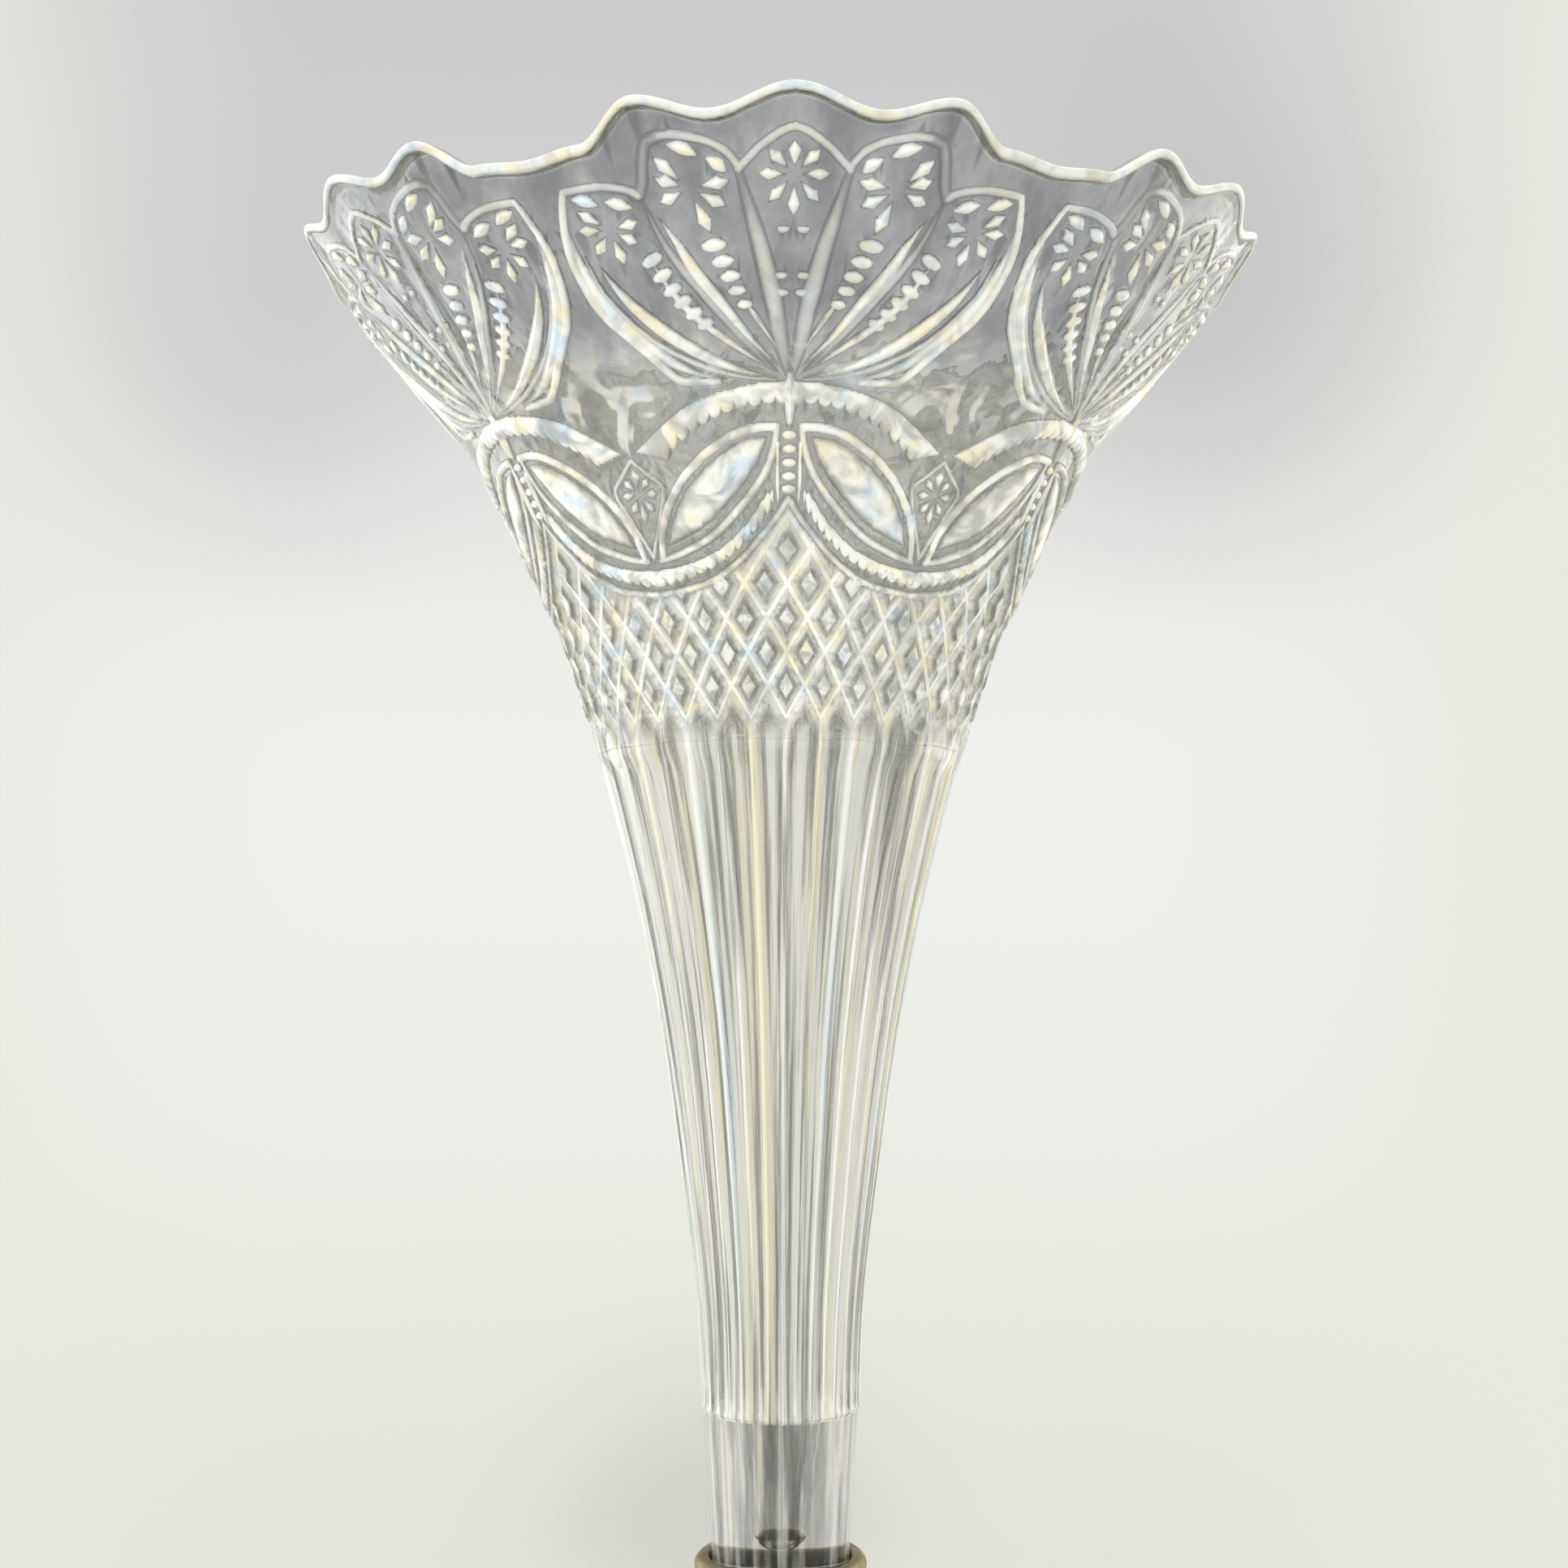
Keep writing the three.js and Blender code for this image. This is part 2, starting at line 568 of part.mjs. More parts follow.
// The turned baluster between the dome and the knop: a bead at its foot, a slim neck and a flared top
function makeStem() {
  const beadMiddle = stemBottom + STEM_BEAD_RADIUS;
  const beadSeat = STEM_FOOT_RADIUS - STEM_BEAD_RADIUS;
  return turned([
    point(rodBore, stemBottom),
    point(beadSeat, stemBottom),
    ...arc(beadSeat, beadMiddle, STEM_BEAD_RADIUS, -60, 60, 5),
    point(beadSeat, beadMiddle + STEM_BEAD_RADIUS),
    point(blend(STEM_NECK_RADIUS, beadSeat, 0.4), stemBottom + 0.32 * STEM_LENGTH),
    point(STEM_NECK_RADIUS, stemBottom + 0.62 * STEM_LENGTH),
    point(blend(STEM_NECK_RADIUS, STEM_TOP_RADIUS, 0.3), stemBottom + 0.84 * STEM_LENGTH),
    point(STEM_TOP_RADIUS, stemBottom + 0.95 * STEM_LENGTH),
    point(STEM_TOP_RADIUS, stemTop),
    point(rodBore, stemTop),
  ]);
}

// The round knop under the cup
function makeKnop() {
  const middle = (knopBottom + knopTop) / 2;
  const size = KNOP_HEIGHT / 2;
  return turned([
    point(rodBore, knopBottom),
    point(KNOP_RADIUS - size, knopBottom),
    ...arc(KNOP_RADIUS - size, middle, size, -70, 70, 8),
    point(KNOP_RADIUS - size, knopTop),
    point(rodBore, knopTop),
  ]);
}

// Inner radius of the cup, which follows the peg with its clearance
function socketRadius(height) {
  return pegRadius(height - collarTop) + SOCKET_CLEARANCE;
}

// The tulip cup that the peg stands in, with a floor, a well for the nut and a ledge for the seat
function makeCup() {
  const outer = socketRadius(cupTop) + CUP_WALL;
  const depth = cupTop - cupBottom;
  return turned([
    point(rodBore, cupBottom),
    point(CUP_FOOT_RADIUS, cupBottom),
    point(CUP_FOOT_RADIUS + 1, cupBottom + 0.06 * depth),
    point(blend(CUP_FOOT_RADIUS, outer, 0.62), cupBottom + 0.2 * depth),
    point(blend(CUP_FOOT_RADIUS, outer, 0.88), cupBottom + 0.4 * depth),
    point(outer, cupBottom + 0.68 * depth),
    point(outer, cupTop),
    point(socketRadius(cupTop), cupTop),
    point(socketRadius(seatLedge), seatLedge),
    point(NUT_WELL_RADIUS, seatLedge),
    point(NUT_WELL_RADIUS, cupFloorTop),
    point(rodBore, cupFloorTop),
  ]);
}

// The rolled lip at the mouth of the cup, just clear of the glass
function makeCollar() {
  const bore = socketRadius(collarTop);
  const lip = COLLAR_HEIGHT / 2;
  return turned([
    point(bore, cupTop + GAP),
    point(COLLAR_RADIUS - lip, cupTop + GAP),
    ...arc(COLLAR_RADIUS - lip, cupTop + GAP + lip, lip, -60, 60, 6),
    point(COLLAR_RADIUS - lip, collarTop),
    point(bore + 0.3, collarTop),
    point(bore, collarTop - 0.3),
  ]);
}

// The cork seat between the peg's end and the ledge of the cup
function makeSeat() {
  const radius = socketRadius(seatLedge) - GAP;
  const seatTop = seatBottom + SEAT_THICKNESS;
  return new THREE.LatheGeometry(
    [point(0, seatBottom), point(radius, seatBottom), point(radius, seatTop), point(0, seatTop)],
    TURNED_SEGMENTS,
  );
}

// A hexagon nut with its bore, lying flat at a height
function makeNut(bottom) {
  const outline = new THREE.Shape();
  const cornerRadius = NUT_ACROSS_FLATS / 2 / Math.cos(degrees(30));
  for (let corner = 0; corner < 6; corner += 1) {
    const angle = degrees(60 * corner);
    const x = cornerRadius * Math.cos(angle);
    const y = cornerRadius * Math.sin(angle);
    if (corner === 0) {
      outline.moveTo(x, y);
    } else {
      outline.lineTo(x, y);
    }
  }
  const bore = new THREE.Path();
  bore.absarc(0, 0, rodBore, 0, 2 * Math.PI);
  outline.holes.push(bore);
  const geometry = new THREE.ExtrudeGeometry(outline, { depth: NUT_HEIGHT, bevelEnabled: false });
  geometry.translate(0, 0, bottom);
  return geometry;
}

// The washer that spreads the lower nut's pull over the weight
function makeWasher() {
  const top = washerBottom + WASHER_THICKNESS;
  return turned([
    point(rodBore, washerBottom),
    point(WASHER_RADIUS, washerBottom),
    point(WASHER_RADIUS, top),
    point(rodBore, top),
  ]);
}

// The rod that runs from the lower nut to the nut in the cup
function makeRod() {
  return new THREE.LatheGeometry(
    [
      point(0, rodBottom),
      point(ROD_RADIUS - ROD_CHAMFER, rodBottom),
      point(ROD_RADIUS, rodBottom + ROD_CHAMFER),
      point(ROD_RADIUS, rodTop - ROD_CHAMFER),
      point(ROD_RADIUS - ROD_CHAMFER, rodTop),
      point(0, rodTop),
    ],
    TURNED_SEGMENTS,
  );
}

const glass = new THREE.MeshStandardMaterial({ color: 0xe4e8e4, roughness: 0.05, metalness: 0, opacity: 0.35 });
glass.transparent = true;
const brass = new THREE.MeshStandardMaterial({ color: 0x8a7b4a, roughness: 0.42, metalness: 1 });
const iron = new THREE.MeshStandardMaterial({ color: 0x3b3a38, roughness: 0.8, metalness: 1 });
const steel = new THREE.MeshStandardMaterial({ color: 0x8f8f8c, roughness: 0.35, metalness: 1 });
const cork = new THREE.MeshStandardMaterial({ color: 0xb98b5a, roughness: 0.9, metalness: 0 });
const felt = new THREE.MeshStandardMaterial({ color: 0x2f4a35, roughness: 1, metalness: 0 });

const standing = new THREE.Group();

// Names a piece and adds it to the vase; a turned piece is made along Y and stood up along Z
function add(name, geometry, material, turnedPiece = true) {
  const mesh = new THREE.Mesh(geometry, material);
  mesh.name = name;
  mesh.rotation.x = turnedPiece ? Math.PI / 2 : 0;
  standing.add(mesh);
}

add("glass_cornet", makeGlass(), glass);
add("collar_ring", makeCollar(), brass);
add("socket_cup", makeCup(), brass);
add("seat_cork", makeSeat(), cork);
add("cup_nut", makeNut(cupNutBottom), steel, false);
add("knop", makeKnop(), brass);
add("stem", makeStem(), brass);
add("foot_dome", makeDome(), brass);
add("base_weight", makeWeight(), iron);
add("tie_rod", makeRod(), steel);
add("lower_washer", makeWasher(), steel);
add("lower_nut", makeNut(lowerNutBottom), steel, false);
add("felt_pad", makeFelt(), felt);

export default standing;
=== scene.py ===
import math
from types import SimpleNamespace

import bmesh
import bpy
import numpy as np
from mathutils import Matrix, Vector


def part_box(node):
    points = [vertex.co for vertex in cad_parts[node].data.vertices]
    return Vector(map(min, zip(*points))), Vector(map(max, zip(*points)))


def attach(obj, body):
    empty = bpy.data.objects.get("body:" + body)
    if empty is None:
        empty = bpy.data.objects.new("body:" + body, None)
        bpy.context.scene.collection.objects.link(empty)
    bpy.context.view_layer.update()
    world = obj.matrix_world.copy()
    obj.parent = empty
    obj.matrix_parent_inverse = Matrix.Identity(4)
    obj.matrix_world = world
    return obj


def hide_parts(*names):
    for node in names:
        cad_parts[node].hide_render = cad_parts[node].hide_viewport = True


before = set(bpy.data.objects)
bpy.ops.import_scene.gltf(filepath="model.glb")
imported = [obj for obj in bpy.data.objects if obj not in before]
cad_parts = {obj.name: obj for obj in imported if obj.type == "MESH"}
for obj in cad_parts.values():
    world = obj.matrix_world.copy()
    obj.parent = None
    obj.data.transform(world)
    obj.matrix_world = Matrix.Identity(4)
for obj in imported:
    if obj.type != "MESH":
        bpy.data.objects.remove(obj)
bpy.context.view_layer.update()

MM = 0.001
COLLAR_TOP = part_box("collar_ring")[1][2] / MM

# Outline of the glass, the same as in the CAD part. The body's radii belong to the heights above them
GLASS_HEIGHT = 199.5
SHOULDER_HEIGHT = 22
BODY_HEIGHTS = np.array([22, 37.5, 52, 81, 110, 138, 167, 187.3, 199.5])
BODY_RADII = np.array([12.05, 12.75, 14.4, 18.6, 25.1, 33.9, 48.4, 64.8, 74.8])
PEG_HIDDEN_LENGTH = 16
PEG_COLLAR_RADIUS = 10.45
PEG_SHOULDER_RADIUS = 11.8
PEG_CHAMFER = 0.6
PEG_CHAMFER_TURN = 0.3
PEG_TOP_FLARE = 0.06
SHOULDER_EDGE = 0.05
CAVITY_TIP_HEIGHT = 1.5
CAVITY_TIP_RADIUS = 2.4
WALL_AT_SHOULDER = 7.5
WALL_AT_RIM = 4.2

# Scalloped rim
SCALLOP_ANGLES = np.array([0, 8.8, 16.4, 23.4, 30])
SCALLOP_DROPS = np.array([0, 2.7, 0.8, 5.2, 5.9])
SCALLOP_START_HEIGHT = 180
RIM_ROLL_HEIGHT = 1.09
RIM_ROLL_SQUARENESS = 0.55
RIM_ROLL_LEAN = 0.5
RIM_HIGHLIGHT_SHARE = 0.3
RIM_BEAD_START_HEIGHT = 185
RIM_BEAD_WIDTH = 1.0
RIM_BEAD_RISE = 0.35

# Flutes, the mould's joint and the field of diamonds above them
FLUTE_PITCH = 10
FLUTE_DEPTH_SHARE = 0.17
FLUTE_TOP_HEIGHT = 120
FLUTE_RAMP = 0.24
FLUTE_START_GAP = 0.3
FLUTE_START_SPAN = 1.2
DIAMOND_PITCH = 10
DIAMOND_TALL = 9.1
DIAMOND_NODE_HEIGHT = 142.4
DIAMOND_DEPTH = 1.05
DIAMOND_FLANK = 0.68
DIAMOND_SUNK = 0.75
DIAMOND_LOW_TIP = 124
GROOVE_FLOOR = 0.08
FIELD_EDGE_WIDTH = 0.6
FIELD_EDGE_RISE = 0.3
FIELD_EDGE_START_HEIGHT = 135
APRON_DEPTH = 0.7
APRON_SPAN = 3.5
APRON_TOP_HEIGHT = 130
ORNAMENT_START = 118
WALL_INSET = 0.35
INSET_START_HEIGHT = 128
INSET_SPAN = 12

# The grid that the glass is worked out on: one twelfth of the turn, from the middle of a fan
SECTORS = 6
HALF_SECTOR = 30
COLUMNS = 181
RIM_EDGE_HEIGHT = GLASS_HEIGHT - RIM_ROLL_HEIGHT
PEG_ROWS = np.linspace(3 - PEG_HIDDEN_LENGTH, SHOULDER_HEIGHT - 0.1, 14)
FLUTE_START_ROWS = np.linspace(SHOULDER_HEIGHT + 0.3, SHOULDER_HEIGHT + 1.8, 6)
FLUTE_ROWS = np.linspace(SHOULDER_HEIGHT + 4, 112, 46)
ORNAMENT_ROWS = np.linspace(113, RIM_EDGE_HEIGHT, 430)
RIM_ROLL_TURNS = np.linspace(0, np.pi, 21)[1:-1]
INNER_ROWS = np.linspace(RIM_EDGE_HEIGHT, SHOULDER_HEIGHT, 90)
CONE_ROWS = np.linspace(SHOULDER_HEIGHT - 2, CAVITY_TIP_HEIGHT + CAVITY_TIP_RADIUS, 8)
CAVITY_TIP_TURNS = np.linspace(0, np.pi / 2, 7)[1:-1]

# Thinning and welding of the grid, and the normals of its corners, with angles in degrees
GLASS_TRIANGLES = 197000
WELD_REACH = 0.0005
WELD_DIGITS = 4
AXIS_REACH = 0.02
CORNER_PULL = 0.4
EDGE_BEND = 14
LARGEST_LEAN = 75
PRESSED = "pressed_height"

# Steps over which slopes are measured, and the fineness of the wall rolled out flat
SLOPE_STEP = 0.05
LEAN_STEP = 0.25
CHART_POINTS = 1800
CHART_OVERHANG = 4
TEETH_POINTS = 301


def ease(share):
    """A share from 0 to 1 with a level start and end: half a cosine wave."""
    return (1 - np.cos(np.pi * np.clip(share, 0, 1))) / 2


def body_radius(height):
    """Outer radius of the glass: cubic pieces through the stations, slopes taken across the neighbours."""
    last = len(BODY_HEIGHTS) - 1
    after = np.minimum(np.arange(last + 1) + 1, last)
    before = np.maximum(np.arange(last + 1) - 1, 0)
    slope = (BODY_RADII[after] - BODY_RADII[before]) / (BODY_HEIGHTS[after] - BODY_HEIGHTS[before])
    height = np.asarray(height, float)
    low = np.clip(np.searchsorted(BODY_HEIGHTS, height) - 1, 0, last - 1)
    span = BODY_HEIGHTS[low + 1] - BODY_HEIGHTS[low]
    t = (height - BODY_HEIGHTS[low]) / span
    rise = t * t * (3 - 2 * t)
    pull = t * (1 - t) ** 2 * span * slope[low] - t * t * (1 - t) * span * slope[low + 1]
    return BODY_RADII[low] * (1 - rise) + BODY_RADII[low + 1] * rise + pull


def body_slope(height):
    """Millimetres of radius that the outer wall gains per millimetre of height."""
    return (body_radius(height + SLOPE_STEP) - body_radius(height - SLOPE_STEP)) / (2 * SLOPE_STEP)


def cavity_radius(height):
    """Inner radius: the outer one less a wall that thins towards the rim, and a cone below the shoulder."""
    share = (height - SHOULDER_HEIGHT) / (GLASS_HEIGHT - SHOULDER_HEIGHT)
    wall = WALL_AT_SHOULDER + (WALL_AT_RIM - WALL_AT_SHOULDER) * share
    low_share = (height - CAVITY_TIP_HEIGHT) / (SHOULDER_HEIGHT - CAVITY_TIP_HEIGHT)
    widest = BODY_RADII[0] - WALL_AT_SHOULDER
    low = CAVITY_TIP_RADIUS + (widest - CAVITY_TIP_RADIUS) * low_share
    return np.where(height < SHOULDER_HEIGHT, low, body_radius(height) - wall)


def rim_drop(angle):
    """How far the rim lies below its middle lobe, eased by cosines between crests and dips."""
    part = np.clip(np.searchsorted(SCALLOP_ANGLES, angle) - 1, 0, len(SCALLOP_ANGLES) - 2)
    span = SCALLOP_ANGLES[part + 1] - SCALLOP_ANGLES[part]
    share = ease((angle - SCALLOP_ANGLES[part]) / span)
    return SCALLOP_DROPS[part] * (1 - share) + SCALLOP_DROPS[part + 1] * share


CHART_HEIGHTS = np.linspace(SHOULDER_HEIGHT, GLASS_HEIGHT + CHART_OVERHANG, CHART_POINTS)
CHART_STEP = CHART_HEIGHTS[1] - CHART_HEIGHTS[0]
CHART_RATE = np.sqrt(1 + body_slope(CHART_HEIGHTS) ** 2) / body_radius(CHART_HEIGHTS)
CHART = np.concatenate([[0], np.cumsum((CHART_RATE[1:] + CHART_RATE[:-1]) / 2 * CHART_STEP)])


def chart(angle, height):
    """The wall rolled out flat, its angles kept: radians round, and slant length over radius upwards."""
    return np.radians(angle), np.interp(height, CHART_HEIGHTS, CHART)


def flowing(path, steps=4):
    """Corners of a path joined by a smooth curve: cubic pieces, slopes taken across the neighbours."""
    corners = np.array([chart(*corner) for corner in path])
    if len(corners) < 3:
        return corners
    ends = np.concatenate([2 * corners[:1] - corners[1:2], corners, 2 * corners[-1:] - corners[-2:-1]])
    t = (np.arange(steps) / steps)[None, :, None]
    before, start, end, after = (ends[k:len(ends) - 3 + k, None, :] for k in range(4))
    curve = start + t * (end - before) / 2
    curve = curve + t ** 2 * (2 * before - 5 * start + 4 * end - after) / 2
    curve = curve + t ** 3 * (3 * start - 3 * end + after - before) / 2
    return np.concatenate([curve.reshape(-1, 2), corners[-1:]])


class Wall:
    """Points of the outer wall at which ornament is worked out, and the ornament's height at each."""

    def __init__(self, angle, height):
        self.angle = angle
        self.height = height
        self.x, self.y = chart(angle, height)
        self.scale = body_radius(height)
        self.relief = np.zeros_like(height)

    def near(self, path, reach):
        """Points near a path of (angle, height) corners, their distance in millimetres, and how far along."""
        corners = flowing(path)
        lengths = np.hypot(*np.diff(corners, axis=0).T)
        starts = np.concatenate([[0], np.cumsum(lengths)])
        margin = reach / self.scale.min()
        low = corners.min(axis=0) - margin
        high = corners.max(axis=0) + margin
        inside = (self.x > low[0]) & (self.x < high[0]) & (self.y > low[1]) & (self.y < high[1])
        x = self.x[inside]
        y = self.y[inside]
        best = np.full(x.shape, np.inf)
        share = np.zeros(x.shape)
        for number, length in enumerate(lengths):
            start = corners[number]
            along = (corners[number + 1] - start) / length
            travel = np.clip((x - start[0]) * along[0] + (y - start[1]) * along[1], 0, length)
            gap = np.hypot(x - start[0] - travel * along[0], y - start[1] - travel * along[1])
            closer = gap < best
            best[closer] = gap[closer]
            share[closer] = (starts[number] + travel[closer]) / starts[-1]
        return inside, best * self.scale[inside], share

    def raise_to(self, inside, relief):
        """Keeps the higher of the ornament so far and a new one."""
        self.relief[inside] = np.maximum(self.relief[inside], relief)

    def cord(self, path, half_width, rise, taper=0.0):
        """A rounded ridge along a path: a parabola across it, thinner towards both ends by the taper."""
        inside, gap, share = self.near(path, half_width)
        width = half_width * (1 - taper * (2 * share - 1) ** 2)
        self.raise_to(inside, rise * width / half_width * np.clip(1 - (gap / width) ** 2, 0, 1))

    def leaf(self, path, half_width, steepness, widest=0.5):
        """A leaf with a sharp middle ridge: flat flanks that fall at one steepness to a pointed outline."""
        inside, gap, share = self.near(path, half_width)
        rising = np.sin(np.pi / 2 * np.clip(share / widest, 0, 1))
        falling = np.sin(np.pi / 2 * np.clip((1 - share) / (1 - widest), 0, 1))
        width = half_width * np.minimum(rising, falling)
        self.raise_to(inside, steepness * np.clip(width - gap, 0, None))

    def petal(self, centre, tip, half_width, steepness):
        """A kite of a star: straight sides out to its widest place, shorter ones from there to the tip."""
        start = tuple(c + STAR_HOLLOW * (t - c) for c, t in zip(centre, tip))
        inside, gap, share = self.near((start, tip), half_width)
        width = half_width * np.minimum(share / PETAL_WIDEST, (1 - share) / (1 - PETAL_WIDEST))
        self.raise_to(inside, steepness * np.clip(width - gap, 0, None))

    def star(self, centre, tips, half_width, steepness):
        """One petal from the centre towards each tip."""
        for tip in tips:
            self.petal(centre, tip, half_width, steepness)

    def bead(self, centre, half_length, half_width, rise, lean=0):
        """An oval dome, its long way level or leaning by some degrees."""
        x, y = chart(*centre)
        across = (self.x - x) * self.scale
        up = (self.y - y) * self.scale
        turn = math.radians(lean)
        long_way = across * math.cos(turn) + up * math.sin(turn)
        short_way = up * math.cos(turn) - across * math.sin(turn)
        reach = (long_way / half_length) ** 2 + (short_way / half_width) ** 2
        self.relief = np.maximum(self.relief, rise * np.sqrt(np.clip(1 - reach, 0, 1)))

    def line(self, path):
        """How many millimetres every point lies above a line, measured square to the line on the wall."""
        angles, heights = np.array(path).T
        at = np.interp(self.angle, angles, heights)
        after = np.interp(self.angle + LEAN_STEP, angles, heights)
        before = np.interp(self.angle - LEAN_STEP, angles, heights)
        run = np.radians(2 * LEAN_STEP) * self.scale
        slant = np.sqrt(1 + body_slope(self.height) ** 2)
        lean = np.hypot(1, (after - before) * slant / run)
        return (self.height - at) * slant / lean


def teeth(wall, path, pitch, depth):
    """An edge of half-round teeth: how far it stands out at each angle, by the length walked along a line."""
    angles = np.linspace(0, HALF_SECTOR, TEETH_POINTS)
    heights = np.interp(angles, *np.array(path).T)
    x, y = chart(angles, heights)
    walked = np.concatenate([[0], np.cumsum(np.hypot(np.diff(x), np.diff(y)) * body_radius(heights[1:]))])
    phase = np.interp(wall.angle, angles, walked) / pitch
    return depth * np.sqrt(1 - (2 * (phase - np.floor(phase)) - 1) ** 2)


# The fan: the arches, ribs, stars, beads and leaves of one half, each corner an angle and a height
CENTRE_ARCH = ((0, 194.6), (1.2, 194.2), (2.4, 193.5), (3.8, 192.5), (5.0, 191.4), (6.1, 190.4))
FIRST_ARCH = (
    (6.0, 190.6), (7.0, 191.9), (8.0, 192.7), (9.6, 193.4), (11.2, 193.8), (12.8, 194.1), (14.2, 194.1),
)
FIRST_ARCH_END = (
    (14.2, 194.1), (15.3, 193.8), (15.9, 193.3), (16.5, 191.8), (16.9, 189.8), (17.6, 188.3),
)
SECOND_ARCH = ((17.8, 188.3), (18.7, 188.9), (21.0, 189.5), (23.6, 189.7), (26.4, 189.6))
PETAL_RIB = ((6.1, 190.4), (4.4, 184), (2.5, 177), (1.0, 170.5), (0, 168))
SECOND_RIB = ((17.6, 188.3), (15.6, 182.6), (12.0, 177.7), (7.4, 173.0), (2.2, 168.9))
CENTRE_STAR = (0, 189.8)
CENTRE_TIPS = ((4.2, 189.9), (2.9, 192.5), (0, 193.4), (3.0, 186.9), (0, 185.4))
FIRST_STAR = (11.8, 188.6)
FIRST_TIPS = (
    (6.9, 189.3), (15.4, 192.2), (15.7, 190.0), (15.5, 187.3), (9.8, 183.8), (7.6, 186.6),
)
SECOND_STAR = (22.3, 185.1)
SECOND_TIPS = (
    (18.3, 185.7), (25.8, 187.6), (26.5, 185.5), (25.0, 182.6), (21.5, 181.2), (18.9, 183.4),
)
FACETS_UNDER_ARCHES = (
    ((13.9, 193.2), (11.9, 192.7), (10.2, 191.7)),
    ((9.7, 191.8), (8.4, 191.0), (7.3, 190.0)),
    ((26.2, 188.8), (24.3, 188.4), (22.7, 187.6)),
    ((22.3, 188.2), (20.4, 187.7), (18.5, 187.0)),
)
FIRST_BEADS = ((9.7, 182.7), (8.8, 181.0), (8.0, 179.4), (7.3, 177.9), (6.4, 176.4))
FIRST_THORN = ((6.3, 176.6), (5.4, 175.6), (3.4, 173.2), (1.2, 170.3))
FIRST_SPEAR = (
    (16.2, 186.4), (14.2, 183.1), (12.4, 179.9), (9.5, 176.5), (6.5, 173.2), (3.6, 170.8), (1.1, 168.9),
)
SECOND_BEADS = ((17.8, 181.6), (16.9, 179.9), (16.0, 178.3), (14.9, 176.9), (13.6, 175.6), (12.2, 174.4))
SECOND_THORN = ((18.6, 182.4), (15.4, 177.2), (11.6, 173.9), (7.2, 171.3), (1.9, 168.6))
THIRD_SPEAR = (
    (25.4, 182.4), (23.9, 179.2), (21.7, 176.5), (17.8, 173.4), (12.4, 170.6), (6.9, 168.9), (1.9, 168.2),
)
LEAF_EDGE = (
    (26.7, 182.6), (25.6, 178.6), (22.8, 175.0), (18.6, 171.9), (12.8, 169.5), (7.2, 168.3), (2.2, 168.0),
)
OUTER_LEAF = (
    (27.6, 187.0), (27.6, 182.5), (26.6, 178.4), (24.2, 175.0), (20.6, 171.9), (15.6, 169.2), (8.6, 167.9),
)
BORDER = (
    (26.7, 189.6), (27.3, 188.2), (28.2, 185.6), (28.6, 183.2), (28.5, 181.2), (27.8, 178.2), (26.4, 175.8),
    (24.5, 174.0), (21.8, 171.6), (19.6, 169.6), (17.4, 168.2), (14.4, 167.9), (11.3, 167.8),
)
CENTRE_BEADS = ((1.2, 184.2), (1.4, 179.4), (1.2, 177.6))

# Sizes of the fan's pieces. Cords: path, half width, rise and taper
FAN_CORDS = (
    (CENTRE_ARCH, 0.7, 0.24, 0),
    (FIRST_ARCH, 0.7, 0.24, 0),
    (SECOND_ARCH, 0.7, 0.24, 0),
    (FIRST_ARCH_END, 1.0, 0.14, 0),
    (PETAL_RIB, 1.5, 0.22, 0.6),
    (SECOND_RIB, 0.8, 0.2, 0.6),
    (LEAF_EDGE, 0.5, 0.3, 0.5),
    (BORDER, 0.85, 0.5, 0.35),
)
# Leaves: path, half width, steepness of the flanks, and the share of the length where they are widest
FAN_LEAVES = (
    *((facet, 1.0, 0.7, 0.5) for facet in FACETS_UNDER_ARCHES),
    (FIRST_THORN, 0.5, 0.8, 0.2),
    (SECOND_THORN, 0.75, 0.8, 0.4),
    (FIRST_SPEAR, 1.0, 0.75, 0.35),
    (THIRD_SPEAR, 1.15, 0.7, 0.4),
    (OUTER_LEAF, 1.35, 0.5, 0.4),
)
# Stars: centre, tips, half width and steepness of their petals
FAN_STARS = (
    (CENTRE_STAR, CENTRE_TIPS, 0.92, 0.75),
    (FIRST_STAR, FIRST_TIPS, 1.08, 0.7),
    (SECOND_STAR, SECOND_TIPS, 1.0, 0.7),
)
# Rows of beads: centres, half length and how much each is shorter than the last, half width and how
# much each is narrower, rise, and lean in degrees
FAN_BEADS = (
    (FIRST_BEADS, 1.75, 0.17, 0.95, 0.07, 0.5, -8),
    (SECOND_BEADS, 1.7, 0.08, 0.85, 0.03, 0.5, -28),
    (CENTRE_BEADS, 0.9, 0, 0.55, 0, 0.3, 0),
)
# Where a petal starts, as a share of the way from centre to tip, and where on its length it is widest
STAR_HOLLOW = 0.18
PETAL_WIDEST = 0.62

# The arch under the fan, the lens, the toothed festoon, the ladder and the small star
ARCH_TOP = (
    (0, 167.8), (4.2, 167.7), (8.3, 167.2), (12, 166.6), (15.5, 165.8),
    (18.5, 164.8), (21.4, 163.5), (28, 160.4), (30, 159.3),
)
ARCH_FOOT = (
    (0, 165.3), (3.8, 165.2), (9.0, 164.6), (13.1, 163.6),
    (16.4, 162.3), (20.0, 160.7), (23.0, 159.0), (30, 154.5),
)
ARCH_END = ((0, 159.1), (23.0, 159.1), (28.2, 160.1), (30, 160.2))
LENS_TOP = (
    (2.2, 162.9), (5.3, 162.85), (8.3, 162.5), (10.7, 161.8), (13.0, 160.9), (15.8, 159.7), (18.3, 158.3),
    (20.6, 156.9), (22.7, 155.3), (24.8, 153.4), (26.6, 151.3), (27.8, 149.0), (28.4, 146.4),
)
